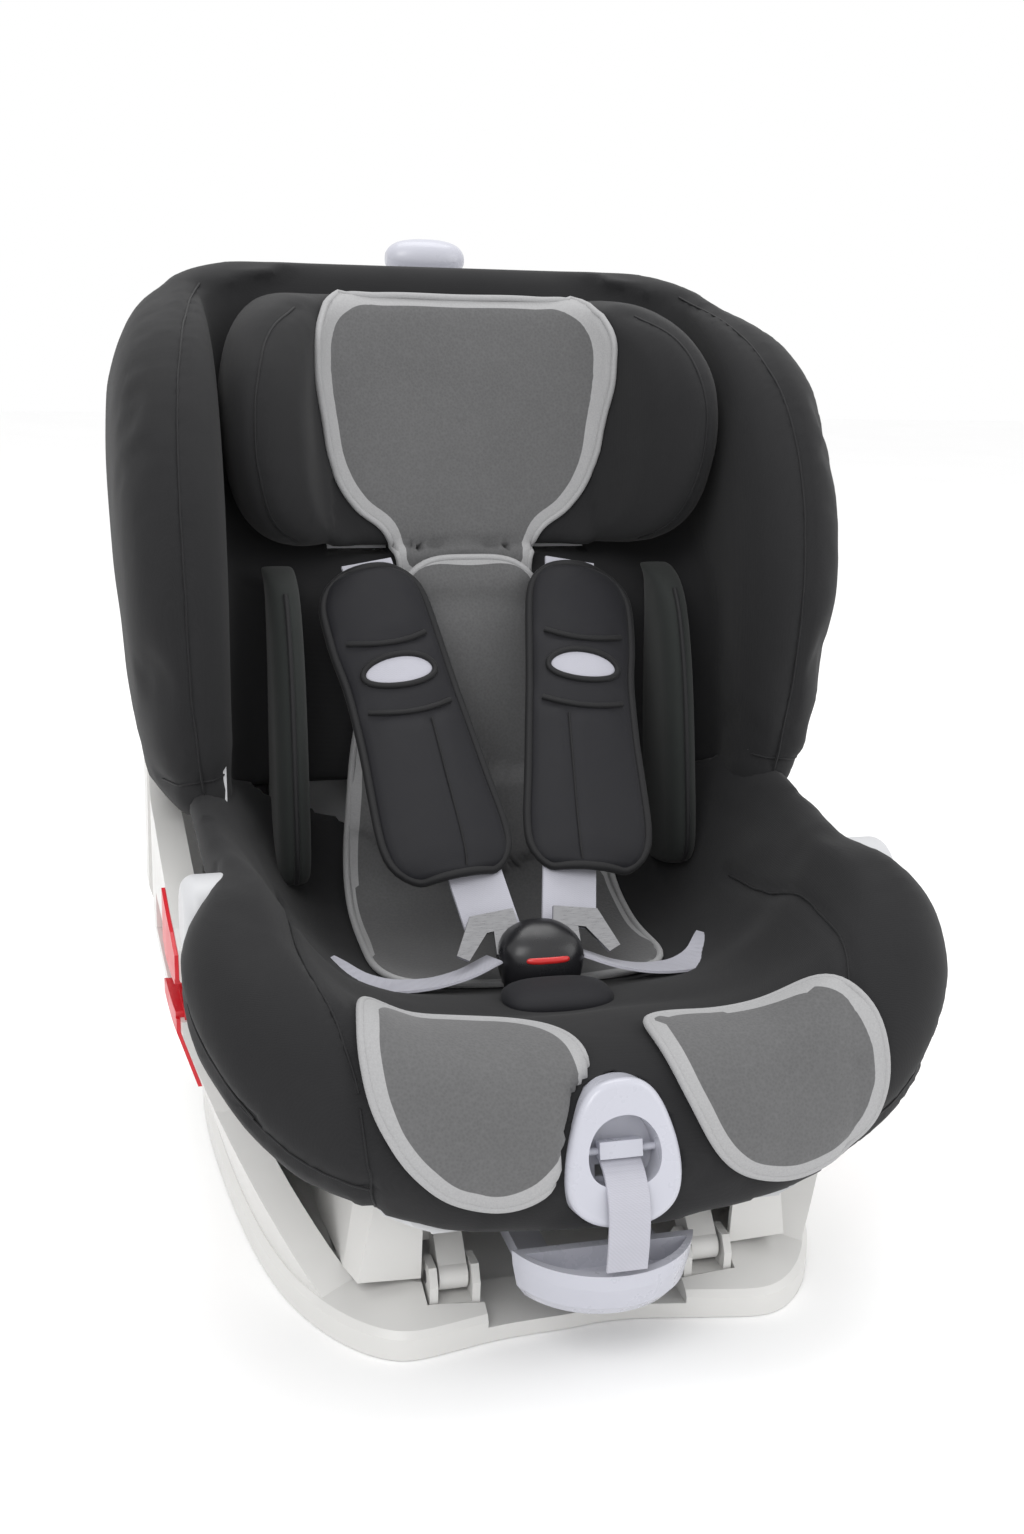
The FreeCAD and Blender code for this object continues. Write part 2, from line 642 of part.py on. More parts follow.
def buckle_housing():
    outline = [(-20, -24), (20, -24), (29, -14), (30, 6), (24, 16), (12, 23), (-12, 23),
               (-24, 16), (-30, 6), (-29, -14)]
    block = xz_prism(outline, -12, 10)
    block = block.cut(box(-17, 17, -13, -3, -18, 2))
    for s in (-1, 1):
        block = block.cut(box(s * 22 - 9, s * 22 + 9, -2, 2, 4, 30))
    return buckle_body(block.removeSplitter())


def buckle_button():
    return buckle_body(box(-16.4, 16.4, -13.5, -6, -17.4, 1.4))


def tongue():
    """Right tongue: a blade in the buckle with a loop for the straps."""
    blade = box(14.6, 29, -1.4, 1.4, 5, 24)
    loop = xz_prism([(12, 24), (34, 20), (48, 2), (56, 6), (44, 32), (14, 36)], -1.6, 1.6)
    return buckle_body(blade.fuse(loop).removeSplitter())


def crotch_strap():
    """Webbing from the buckle down through the pan."""
    strap = web_between((0, -120, 174), (0, -114, 104), WEB_W, WEB_T, (0, -1, 0))
    return strap.cut(buckle_housing()).removeSplitter()


def crotch_pad():
    """Pad between the buckle and the seat."""
    pad = yz_prism([(-126, 172.4), (-150, 177.4), (-168, 181), (-168, 192), (-150, 190),
                    (-132, 184)], -38, 38)
    return pad.cut(buckle_housing()).removeSplitter()


ADJ_TILT = 16.0
ADJ_Y, ADJ_Z = -276.0, 143.0


def adjuster_place(shape):
    shape.rotate(V(0, 0, 0), V(1, 0, 0), -ADJ_TILT)
    shape.translate(V(0, ADJ_Y, ADJ_Z))
    return shape


def egg(scale, y0, y1):
    points = [(0, 43), (18, 37), (29, 18), (35, -8), (31, -30), (16, -41), (0, -43)]
    right = [(x * scale, z * scale) for x, z in points]
    left = [(-x, z) for x, z in reversed(right[1:-1])]
    return xz_smooth(right + left, y0, y1)


def adjuster_port(gap):
    return adjuster_place(egg(1.0 + gap / 35.0, -30, 60))


def adjuster_bezel():
    """Oval bezel with a recessed cup for the harness lever."""
    ring = egg(1.0, -12, 10)
    bore = xz_smooth([(0, 22), (15, 16), (22, 0), (19, -13), (0, -20), (-19, -13), (-22, 0),
                      (-15, 16)], -13, 7)
    ring = ring.cut(bore)
    ring = rounded(ring, 5.0, lambda e: e.BoundBox.YMax < -11.9 and e.BoundBox.XLength > 60)
    ring = ring.cut(box(-13, 13, 0, 11, -16, -9))
    ring = ring.cut(cyl_x(-24.6, 24.6, 1, 0, 2.3))
    return adjuster_place(ring.removeSplitter())


def adjuster_lever():
    lever = box(-13, 13, -5, 3, -4, 6)
    lever = lever.fuse(cyl_x(-24.4, 24.4, 1, 0, 2.2))
    return adjuster_place(lever.removeSplitter())


def adjuster_strap():
    """Harness pull strap, over the lower rim and hanging in front."""
    path = [(-279, 126), (-293.8, 128.6), (-300.4, 105), (-300, 94), (-298, 84), (-297.5, 78)]
    return slab_on_path(path, ADJ_W / 2, WEB_T).cut(adjuster_bezel()).removeSplitter()


def splitter_plate():
    """Metal yoke joining the shoulder straps to the pull strap."""
    plate = xz_prism([(-62, 10), (-10, -16), (10, -16), (62, 10), (62, 22), (-62, 22)], 0, 2.5)
    z = 268.0
    y = back_y(z) + SHELL_T / math.cos(LEAN) + 4
    return lean_place(plate, 0, y, z)


def rear_strap():
    """Right strap tail down the rear of the back to the splitter."""
    off = SHELL_T / math.cos(LEAN) + 2.2
    return web_between((SLOT_X - 20, back_y(415) + off, 415), (34, back_y(284) + off, 284),
                       WEB_W, WEB_T, (0, 1, -0.3))


# ---- liner -------------------------------------------------------------
def liner_headrest():
    sheet = yz_prism([(129.6, 424), (132.8, 424), (165.6, 605), (162.4, 605)], -120, 120)
    outline = [(-100, 605), (100, 605), (110, 596), (95.5, 480), (62, 446), (50, 424),
               (-50, 424), (-62, 446), (-95.5, 480), (-110, 596)]
    side = [(95.5, 700), (95.5, 400), (-95.5, 400), (-95.5, 700)]
    return sheet.common(xz_prism(outline, 100, 200)).common(xz_prism(side, 100, 200))


def liner_back():
    """Lower liner down the back to the seat."""
    sheet = yz_prism([(111.6, 402), (65.7, 173), (62.5, 173), (108.4, 402)], -120, 120)
    outline = [(-50, 402), (50, 402), (74, 360), (100, 290), (112, 173), (-112, 173),
               (-100, 290), (-74, 360)]
    return sheet.common(xz_prism(outline, 40, 140))


def leg_flap():
    """Right front flap of the liner over the thigh roll."""
    path = [(-172, 182.4), (-180, 184), (-222.3, 188), (-252.8, 179), (-272.9, 156.4),
            (-281.7, 122), (-281.7, 108)]
    sheet = slab_on_path(path, 60, 2.6, 78)
    return sheet.cut(adjuster_port(2.0)).removeSplitter()


def liner_seat():
    path = [(56, 164.5), (0, 164.5), (-60, 165.5), (-96, 168.9)]
    return slab_on_path(path, 108, 2.4)


def write_all():
    save("base_tub", base_tub())
    save_pair("side_arm", side_arm())
    save("rear_upright", rear_upright())
    save_pair("belt_guide", belt_guide())
    save("base_cross_tube", base_cross_tube())
    save("carrier_frame", carrier_frame())
    save("rails", Part.makeCompound([rail(), flip(rail())]))
    pin = cyl_x(66.0, 98.4, TILT_Y, TILT_Z, PIN_R)
    save("tilt_pins", Part.makeCompound([pin, flip(pin)]))
    save("carrier_skirts", Part.makeCompound([carrier_skirt(), flip(carrier_skirt())]))
    save("base_feet", foot_pads())
    save("recline_lever", lever_handle())
    save("seat_shell", seat_shell())
    save_pair("shell_side", shell_side())
    save_pair("shell_lug", shell_lug())
    save("back_ribs", back_ribs())
    save("runners", Part.makeCompound([runner(), flip(runner())]))
    save("yoke_guides", yoke_guides())
    save("height_rack", height_rack())
    save("shell_screws", shell_screws())
    save_pair("back_wing", wing())
    save("back_cushion", back_cushion())
    save("top_roll", top_roll())
    save("seat_cushion", seat_cushion())
    save_pair("bolster", bolster())
    save_pair("insert_pad", insert_pad())
    save("headrest_frame", headrest_frame())
    save("headrest_pad", headrest_pad())
    save_pair("headrest_wing", headrest_wing())
    save("headrest_handle", headrest_handle())
    save_pair("shoulder_strap", shoulder_strap())
    save_pair("shoulder_pad", shoulder_pad())
    save_pair("lap_strap", lap_strap())
    save("buckle_housing", buckle_housing())
    save("buckle_button", buckle_button())
    save_pair("tongue", tongue())
    save("crotch_strap", crotch_strap())
    save("crotch_pad", crotch_pad())
    save("adjuster_bezel", adjuster_bezel())
    save("adjuster_lever", adjuster_lever())
    save("adjuster_strap", adjuster_strap())
    save("splitter_plate", splitter_plate())
    save("rear_straps", Part.makeCompound([rear_strap(), flip(rear_strap())]))
    save("liner_headrest", liner_headrest())
    save("liner_back", liner_back())
    save("liner_seat", liner_seat())
    save_pair("leg_flap", leg_flap())


write_all()
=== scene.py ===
import bpy
import bmesh
import json
import math
from mathutils import Matrix, Vector, noise
from mathutils.bvhtree import BVHTree


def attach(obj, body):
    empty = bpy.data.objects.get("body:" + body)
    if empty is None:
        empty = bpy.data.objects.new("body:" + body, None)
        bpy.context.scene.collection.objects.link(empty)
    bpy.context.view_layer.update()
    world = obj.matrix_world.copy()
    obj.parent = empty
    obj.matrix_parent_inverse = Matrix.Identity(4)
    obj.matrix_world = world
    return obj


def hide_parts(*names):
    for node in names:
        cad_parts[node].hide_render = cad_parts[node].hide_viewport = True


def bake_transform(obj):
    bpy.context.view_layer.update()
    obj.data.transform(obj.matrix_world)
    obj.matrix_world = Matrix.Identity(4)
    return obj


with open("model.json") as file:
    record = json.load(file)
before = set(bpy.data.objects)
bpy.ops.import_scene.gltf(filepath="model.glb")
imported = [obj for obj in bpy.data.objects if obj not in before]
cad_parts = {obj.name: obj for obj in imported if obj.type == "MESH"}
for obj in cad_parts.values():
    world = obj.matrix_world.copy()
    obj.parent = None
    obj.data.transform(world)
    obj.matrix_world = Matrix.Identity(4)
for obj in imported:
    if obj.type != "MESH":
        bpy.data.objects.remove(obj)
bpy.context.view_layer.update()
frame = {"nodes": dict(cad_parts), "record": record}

MM = 0.001
ORIGIN_SHIFT = 1.7      # mm, as in the CAD: brings the middle of the depth over the origin
LEAN = math.radians(16.5)
TAN = math.tan(LEAN)
SOFT_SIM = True
CLOTH_FRAMES = 12       # steps of the swelling before it is stopped
COVER_VOXEL = 0.0062
HEAD_VOXEL = 0.005
PRESSURE = 5.0


# ---- small helpers ----
def pt(x, y, z):
    """A point of the drawing, in millimetres, as a frame point in metres."""
    return Vector((x * MM, (y + ORIGIN_SHIFT) * MM, z * MM))


def back_y(z):
    """Front face of the shell's back at height z, in millimetres."""
    return 108.0 + (z - 150.0) * TAN


def smooth_table(rows, key):
    """Values at key on a smooth curve through the rows (key, value, value, ...)."""
    n = len(rows)
    if key <= rows[0][0]:
        return list(rows[0][1:])
    if key >= rows[-1][0]:
        return list(rows[-1][1:])
    i = max(k for k in range(n - 1) if rows[k][0] <= key)
    x0, x1 = rows[i][0], rows[i + 1][0]
    h = x1 - x0
    t = (key - x0) / h
    out = []
    for c in range(1, len(rows[0])):
        def slope(k):
            if k == 0 or k == n - 1:
                return 0.0
            a = (rows[k][c] - rows[k - 1][c]) / (rows[k][0] - rows[k - 1][0])
            b = (rows[k + 1][c] - rows[k][c]) / (rows[k + 1][0] - rows[k][0])
            return 0.0 if a * b <= 0 else 2 * a * b / (a + b)
        p0, p1 = rows[i][c], rows[i + 1][c]
        m0, m1 = slope(i) * h, slope(i + 1) * h
        out.append((2 * t**3 - 3 * t**2 + 1) * p0 + (t**3 - 2 * t**2 + t) * m0
                   + (-2 * t**3 + 3 * t**2) * p1 + (t**3 - t**2) * m1)
    return out


def new_object(name, data):
    obj = bpy.data.objects.new(name, data)
    bpy.context.scene.collection.objects.link(obj)
    return obj


def shade_smooth(mesh):
    mesh.polygons.foreach_set("use_smooth", [True] * len(mesh.polygons))


def mesh_object(name, verts, faces, smooth=True):
    mesh = bpy.data.meshes.new(name)
    mesh.from_pydata([tuple(v) for v in verts], [], faces)
    mesh.validate()
    bm = bmesh.new()
    bm.from_mesh(mesh)
    bmesh.ops.recalc_face_normals(bm, faces=bm.faces)
    bm.to_mesh(mesh)
    bm.free()
    if smooth:
        shade_smooth(mesh)
    return new_object(name, mesh)


def both_sides(half):
    """Closed outline from its right half, which starts and ends on the middle line."""
    return half + [(-x, y) for x, y in half[-2:0:-1]]


def skin(rings, n):
    """Quads between rings of n points each, laid one after the other."""
    faces = []
    for r in range(rings - 1):
        for i in range(n):
            j = (i + 1) % n
            faces.append((r * n + i, r * n + j, (r + 1) * n + j, (r + 1) * n + i))
    return faces


def disc_faces(rings, n):
    """Faces of a disc: its centre is point 0, its rings of n points follow."""
    faces = [(0, 1 + i, 1 + (i + 1) % n) for i in range(n)]
    return faces + [(a + 1, d + 1, c + 1, b + 1) for a, b, c, d in skin(rings, n)]


def apply_modifiers(obj):
    deps = bpy.context.evaluated_depsgraph_get()
    mesh = bpy.data.meshes.new_from_object(obj.evaluated_get(deps))
    obj.modifiers.clear()
    old = obj.data
    obj.data = mesh
    bpy.data.meshes.remove(old)
    return obj


def subdivide(obj, levels):
    mod = obj.modifiers.new("sub", "SUBSURF")
    mod.levels = levels
    mod.render_levels = levels
    return apply_modifiers(obj)


def bvh(obj):
    bm = bmesh.new()
    bm.from_mesh(obj.data)
    tree = BVHTree.FromBMesh(bm)
    bm.free()
    return tree


def smoothstep(a, b, x):
    t = min(max((x - a) / (b - a), 0.0), 1.0)
    return t * t * (3 - 2 * t)


def move_along_normals(obj, amount):
    """amount(vertex position, normal) gives metres along the normal."""
    mesh = obj.data
    moves = [v.normal * amount(v.co, v.normal) for v in mesh.vertices]
    for v, m in zip(mesh.vertices, moves):
        v.co += m
    mesh.update()


def tube(name, points, radius, closed=False, resolution=3):
    """A thin round cord of mesh along the points: seams, piping and bindings."""
    curve = bpy.data.curves.new(name, "CURVE")
    curve.dimensions = "3D"
    curve.bevel_depth = radius
    curve.bevel_resolution = resolution
    curve.use_fill_caps = True
    spline = curve.splines.new("POLY")
    spline.points.add(len(points) - 1)
    for p, q in zip(spline.points, points):
        p.co = (q[0], q[1], q[2], 1.0)
    spline.use_cyclic_u = closed
    spline.use_smooth = True
    obj = new_object(name, curve)
    deps = bpy.context.evaluated_depsgraph_get()
    mesh = bpy.data.meshes.new_from_object(obj.evaluated_get(deps))
    bpy.data.objects.remove(obj)
    shade_smooth(mesh)
    return new_object(name, mesh)


def join(objs, name):
    """One mesh object out of several."""
    bm = bmesh.new()
    for o in objs:
        bm.from_mesh(o.data)
    mesh = bpy.data.meshes.new(name)
    bm.to_mesh(mesh)
    bm.free()
    for o in objs:
        bpy.data.objects.remove(o)
    shade_smooth(mesh)
    return new_object(name, mesh)


def set_material(obj, material):
    obj.data.materials.clear()
    obj.data.materials.append(material)
    return obj


# ---- materials ----
class Nodes:
    """Short hand for building a node material."""

    def __init__(self, name):
        self.mat = bpy.data.materials.new(name)
        self.mat.use_nodes = True
        self.tree = self.mat.node_tree
        self.tree.nodes.clear()
        self.out = self.add("ShaderNodeOutputMaterial")
        self.shader = self.add("ShaderNodeBsdfPrincipled")
        self.link(self.shader, "BSDF", self.out, "Surface")
        self.coord = self.add("ShaderNodeTexCoord")

    def add(self, kind, **values):
        node = self.tree.nodes.new(kind)
        for key, value in values.items():
            if key in node.inputs:
                node.inputs[key].default_value = value
            else:
                setattr(node, key, value)
        return node

    def link(self, a, out, b, into):
        self.tree.links.new(a.outputs[out], b.inputs[into])

    def noise(self, scale, detail=3.0, rough=0.55, stretch=(1, 1, 1)):
        mapping = self.add("ShaderNodeMapping", Scale=stretch)
        self.link(self.coord, "Object", mapping, "Vector")
        node = self.add("ShaderNodeTexNoise", Scale=scale, Detail=detail, Roughness=rough)
        self.link(mapping, "Vector", node, "Vector")
        return node.outputs["Fac"]

    def wave(self, scale, axis, distortion=0.0):
        node = self.add("ShaderNodeTexWave", wave_type="BANDS", bands_direction=axis, Scale=scale,
                        Distortion=distortion)
        self.link(self.coord, "Object", node, "Vector")
        return node.outputs["Fac"]

    def math(self, operation, a, b):
        node = self.add("ShaderNodeMath")
        node.operation = operation
        for i, v in enumerate((a, b)):
            if isinstance(v, (int, float)):
                node.inputs[i].default_value = v
            else:
                self.tree.links.new(v, node.inputs[i])
        return node.outputs[0]

    def total(self, *parts):
        """Sum of socket times weight."""
        out = None
        for socket, weight in parts:
            scaled_part = self.math("MULTIPLY", socket, weight)
            out = scaled_part if out is None else self.math("ADD", out, scaled_part)
        return out

    def roughness(self, value, low, high):
        self.into(self.ramp(value, [(0.3, (low,) * 3), (0.7, (high,) * 3)]), "Roughness")

    def ramp(self, value, stops):
        node = self.add("ShaderNodeValToRGB")
        self.tree.links.new(value, node.inputs[0])
        while len(node.color_ramp.elements) < len(stops):
            node.color_ramp.elements.new(0.5)
        for e, (pos, col) in zip(node.color_ramp.elements, stops):
            e.position = pos
            e.color = (*col, 1.0)
        return node.outputs[0]

    def into(self, value, socket):
        self.tree.links.new(value, self.shader.inputs[socket])

    def bump(self, height, strength, distance):
        node = self.add("ShaderNodeBump", Strength=strength, Distance=distance)
        self.tree.links.new(height, node.inputs["Height"])
        self.tree.links.new(node.outputs[0], self.shader.inputs["Normal"])


def scaled(color, k):
    return tuple(c * k for c in color)


def knit(name, color, spread=0.25, sheen=0.25, scale=1.0, rough=0.85):
    """Knitted cover cloth: fine loops in two directions, soft blotches and a little sheen."""
    n = Nodes(name)
    w1 = n.wave(420 * scale, "X", 0.6)
    w2 = n.wave(420 * scale, "Z", 0.6)
    w3 = n.wave(420 * scale, "Y", 0.6)
    loops = n.total((w1, w2), (w3, 0.5))
    fuzz = n.noise(2200 * scale, 2.0, 0.6)
    blotch = n.noise(9.0, 4.0, 0.6)
    wear = n.noise(60.0, 3.0, 0.6)
    tone = n.total((blotch, 0.55), (wear, 0.2), (loops, 0.25))
    n.into(n.ramp(tone, [(0.25, scaled(color, 1 - spread)), (0.75, scaled(color, 1 + spread))]),
           "Base Color")
    n.roughness(blotch, rough - 0.06, rough + 0.06)
    n.shader.inputs["Sheen Weight"].default_value = sheen
    n.shader.inputs["Sheen Roughness"].default_value = 0.55
    n.shader.inputs["Specular IOR Level"].default_value = 0.3
    n.bump(n.total((loops, 0.6), (fuzz, 0.4)), 0.22, 0.0004)
    return n.mat


def liner_material(name, field_color, edge_color):
    """Air mesh with a pale binding, told apart by the edge attribute of the mesh."""
    n = Nodes(name)
    edge = n.add("ShaderNodeAttribute")
    edge.attribute_name = "binding"
    cells = n.add("ShaderNodeTexVoronoi", Scale=520.0)
    n.link(n.coord, "Object", cells, "Vector")
    blotch = n.noise(14.0, 4.0, 0.6)
    fine = n.noise(900.0, 2.0, 0.6)
    tone = n.total((blotch, 0.5), (cells.outputs["Distance"], 0.35),
                   (fine, 0.2))
    field = n.ramp(tone, [(0.25, scaled(field_color, 0.84)), (0.75, scaled(field_color, 1.16))])
    binding = n.ramp(fine, [(0.3, scaled(edge_color, 0.93)),
                                           (0.7, scaled(edge_color, 1.05))])
    mix = n.add("ShaderNodeMix")
    mix.data_type = "RGBA"
    sharp = n.ramp(edge.outputs["Fac"], [(0.47, (0, 0, 0)), (0.53, (1, 1, 1))])
    n.tree.links.new(sharp, mix.inputs[0])
    n.tree.links.new(field, mix.inputs[6])
    n.tree.links.new(binding, mix.inputs[7])
    n.tree.links.new(mix.outputs[2], n.shader.inputs["Base Color"])
    n.roughness(blotch, 0.8, 0.9)
    n.shader.inputs["Sheen Weight"].default_value = 0.2
    n.shader.inputs["Specular IOR Level"].default_value = 0.25
    n.bump(n.math("ADD", cells.outputs["Distance"], fine), 0.3, 0.0004)
    return n.mat


def webbing_material(name, color):
    """Polyester webbing: a twill of narrow ribs with a silky sheen."""
    n = Nodes(name)
    ribs = n.wave(520, "X", 0.3)
    cross = n.wave(300, "Z", 0.2)
    diag = n.wave(260, "DIAGONAL", 0.1)
    weave = n.total((ribs, 0.5), (cross, 0.2),
                    (diag, 0.3))
    soft = n.noise(30.0, 3.0)
    tone = n.total((weave, 0.6), (soft, 0.4))
    n.into(n.ramp(tone, [(0.2, scaled(color, 0.86)), (0.8, scaled(color, 1.1))]), "Base Color")
    n.roughness(soft, 0.42, 0.55)
    n.shader.inputs["Sheen Weight"].default_value = 0.15
    n.bump(weave, 0.35, 0.0003)
    return n.mat


def plastic(name, color, rough=0.38, grain=900.0, depth=0.12, spread=0.04, coat=0.0):
    """Moulded plastic: fine spark grain, faint tone drift and uneven polish."""
    n = Nodes(name)
    drift = n.noise(5.0, 3.0, 0.5)
    fine = n.noise(grain, 2.0, 0.6)
    rub = n.noise(38.0, 4.0, 0.65)
    n.into(n.ramp(drift, [(0.3, scaled(color, 1 - spread)),
                                         (0.7, scaled(color, 1 + spread))]), "Base Color")
    n.roughness(rub, rough - 0.07, rough + 0.07)
    n.shader.inputs["Coat Weight"].default_value = coat
    n.bump(fine, depth, 0.0002)
    return n.mat


def metal(name, color, rough=0.32):
    """Brushed steel, its lines running one way."""
    n = Nodes(name)
    brushed = n.noise(160.0, 3.0, 0.6, (1, 1, 14))
    n.into(n.ramp(brushed, [(0.3, scaled(color, 0.88)), (0.7, scaled(color, 1.08))]),
           "Base Color")
    n.roughness(brushed, rough - 0.08, rough + 0.1)
    n.shader.inputs["Metallic"].default_value = 1.0
    n.bump(brushed, 0.08, 0.0002)
    return n.mat


M = {
    "base_plastic": plastic("base_plastic", (0.64, 0.635, 0.62), 0.36, 1100, 0.08, 0.02),
    "shell_plastic": plastic("shell_plastic", (0.52, 0.525, 0.54), 0.42, 900, 0.14, 0.03),
    "guide_red": plastic("guide_red", (0.56, 0.012, 0.022), 0.34, 900, 0.08, 0.08),
    "satin_grey": plastic("satin_grey", (0.46, 0.465, 0.52), 0.30, 1400, 0.05, 0.03, 0.15),
    "black_plastic": plastic("black_plastic", (0.012, 0.012, 0.014), 0.30, 1200, 0.10, 0.25),
    "button_red": plastic("button_red", (0.55, 0.02, 0.02), 0.25, 1200, 0.05, 0.08),
    "rubber_black": plastic("rubber_black", (0.02, 0.02, 0.02), 0.75, 500, 0.3, 0.2),
    "steel": metal("steel", (0.30, 0.30, 0.31)),
    "cover_black": knit("cover_black", (0.0105, 0.0105, 0.0115), 0.22, 0.06),
    "cover_inner": knit("cover_inner", (0.013, 0.0155, 0.0145), 0.22, 0.08),
    "pad_black": knit("pad_black", (0.006, 0.006, 0.0085), 0.2, 0.04, 1.3, 0.62),
    "piping": knit("piping", (0.006, 0.006, 0.007), 0.2, 0.05, 1.4, 0.6),
    "liner_grey": liner_material("liner_grey", (0.105, 0.105, 0.107), (0.33, 0.33, 0.335)),
    "webbing": webbing_material("webbing", (0.40, 0.40, 0.45)),
}

for part in frame["record"]["subparts"]:
    node = frame["nodes"].get(part["node"])
    if node is not None:
        material = M[part["material_slot"]]
        if len(node.data.materials) == 0:
            node.data.materials.append(material)
        for s in range(len(node.data.materials)):
            node.data.materials[s] = material


# ---- lofts ----
def c_ring(rear, tip, front):
    """Closed ring of a C section from its right half: rear and front run from the middle out."""
    right = rear + [tip] + front[::-1]
    left = [(-x, y, z) for x, y, z in front[1:]] + [(-tip[0], tip[1], tip[2])]
    left += [(-x, y, z) for x, y, z in rear[1:][::-1]]
    return right + left


def c_loft(name, rings, half):
    """Skin over the rings, closed at both ends; half is the count of rear points."""
    n = len(rings[0])
    verts = [pt(*p) for ring in rings for p in ring]
    faces = skin(len(rings), n)
    for b in (0, (len(rings) - 1) * n):
        for i in range(half - 1):
            faces.append((b + i, b + i + 1, b + 2 * half - i - 1, b + 2 * half - i))
            li, lj = (n - i) % n, n - i - 1
            faces.append((b + li, b + lj, b + 2 * half + i + 1, b + 2 * half + i))
        faces.append((b + half - 1, b + half, b + half + 1))
        faces.append((b + n - half + 1, b + n - half, b + n - half - 1))
    return mesh_object(name, verts, faces)


# ---- back cover ----
# height, outer half width, front edge, inner half width, floor of the C
BACK_ROWS = [
    (260, 222, 4, 185, 84), (266, 228, 0, 185, 85), (280, 233, -2, 185, 87),
    (300, 238, -4, 185, 92), (325, 243, -6, 185, 97), (370, 248, -8, 185, 106),
    (405, 251, -8, 185, 114), (425, 252, -6, 185, 160), (465, 253, 2, 185, 171),
    (505, 253, 18, 185, 183), (540, 251, 42, 185, 193), (565, 246, 70, 185, 200),
    (585, 238, 102, 186, 208), (599, 228, 140, 187, 213), (609, 216, 180, 187, 217),
    (617, 202, 208, 172, 221), (623, 184, 218, 140, 225)]
BACK_TOP_Z = 628


def back_ring(z, w, yf, wi, fl):
    by = back_y(min(z, 606))
    rear_out = min(by + 16, 250)
    t = min(34.0, (w - wi) * 0.55)
    deep = max(by - yf, 20.0)
    rear = [(0, by - 1, z), (110, by - 1, z), (166, by, z), (176, by + 8, z),
            (w - 24, rear_out, z), (w - 5, by - 0.04 * deep, z), (w, by - 0.42 * deep, z),
            (w - 1, yf + 0.2 * deep, z), (w - 8, yf + 0.055 * deep, z)]
    tip = (w - t * 0.7, yf, z)
    front = [(0, fl, z), (96, fl, z), (wi - 44, fl - 1, z), (wi - 22, fl - 5, z),
             (wi - 6, fl - 20, z), (wi - 1, fl - 0.3 * (fl - yf), z), (wi - 1, yf + 0.42 * deep, z),
             (wi - 1, yf + 0.2 * deep, z), (wi + (w - wi) * 0.16, yf + 0.055 * deep, z)]
    return c_ring(rear, tip, front)


def box_mesh(name, x0, x1, y0, y1, z0, z1):
    bm = bmesh.new()
    bmesh.ops.create_cube(bm, size=1.0)
    mesh = bpy.data.meshes.new(name)
    bm.to_mesh(mesh)
    bm.free()
    low, high = pt(x0, y0, z0), pt(x1, y1, z1)
    for v in mesh.vertices:
        v.co = Vector([low[i] + (high[i] - low[i]) * (v.co[i] + 0.5) for i in range(3)])
    obj = new_object(name, mesh)
    return obj


def carve(obj, cutters):
    """Cut the cutters out of a piece and drop them."""
    for cutter in cutters:
        mod = obj.modifiers.new("cut", "BOOLEAN")
        mod.operation = "DIFFERENCE"
        mod.solver = "EXACT"
        mod.object = cutter
    apply_modifiers(obj)
    for cutter in cutters:
        bpy.data.objects.remove(cutter)
    shade_smooth(obj.data)
    return obj


def puff(obj, voxel, cap, freedom):
    """Swell a padded piece by cloth simulation: remesh, blow up, cap the movement, smooth.

    freedom(point) is the share of the swelling that a point keeps."""
    if not SOFT_SIM:
        return obj
    scene = bpy.context.scene
    remesh = obj.modifiers.new("remesh", "REMESH")
    remesh.mode = "VOXEL"
    remesh.voxel_size = voxel
    apply_modifiers(obj)
    start = [v.co.copy() for v in obj.data.vertices]
    scene.frame_set(1)
    cloth = obj.modifiers.new("cloth", "CLOTH")
    settings = cloth.settings
    settings.quality = 5
    settings.mass = 0.25
    settings.tension_stiffness = 14
    settings.compression_stiffness = 14
    settings.shear_stiffness = 6
    settings.bending_stiffness = 0.6
    settings.use_pressure = True
    settings.uniform_pressure_force = PRESSURE
    settings.effector_weights.gravity = 0.0
    cloth.point_cache.frame_start = 1
    cloth.point_cache.frame_end = CLOTH_FRAMES + 8
    for f in range(1, CLOTH_FRAMES + 1):
        scene.frame_set(f)
    deps = bpy.context.evaluated_depsgraph_get()
    swollen = obj.evaluated_get(deps).to_mesh()
    moved = [v.co.copy() for v in swollen.vertices]
    obj.evaluated_get(deps).to_mesh_clear()
    obj.modifiers.clear()
    scene.frame_set(1)
    for v, a, b in zip(obj.data.vertices, start, moved):
        step = b - a
        if step.length > cap:
            step *= cap / step.length
        v.co = a + step * freedom(a)
    smooth = obj.modifiers.new("smooth", "SMOOTH")
    smooth.factor = 0.5
    smooth.iterations = 3
    apply_modifiers(obj)
    shade_smooth(obj.data)
    return obj


def wrinkle(obj, scale, height, where):
    """Soft folds pressed into the mesh; where(co) is their strength."""
    def amount(co, normal):
        k = where(co)
        if k <= 0.0:
            return 0.0
        p = Vector((co.x * scale[0], co.y * scale[1], co.z * scale[2]))
        return k * height * (noise.noise(p) + 0.5 * noise.noise(p * 2.3))
    move_along_normals(obj, amount)


def on_surface(tree, point, direction, lift):
    """The place where a ray from point meets a piece, lifted off its surface; None if it misses."""
    hit, normal, _, _ = tree.ray_cast(point, direction.normalized())
    if hit is None:
        return None
    if normal.dot(direction) > 0:
        normal = -normal
    return hit + normal * lift


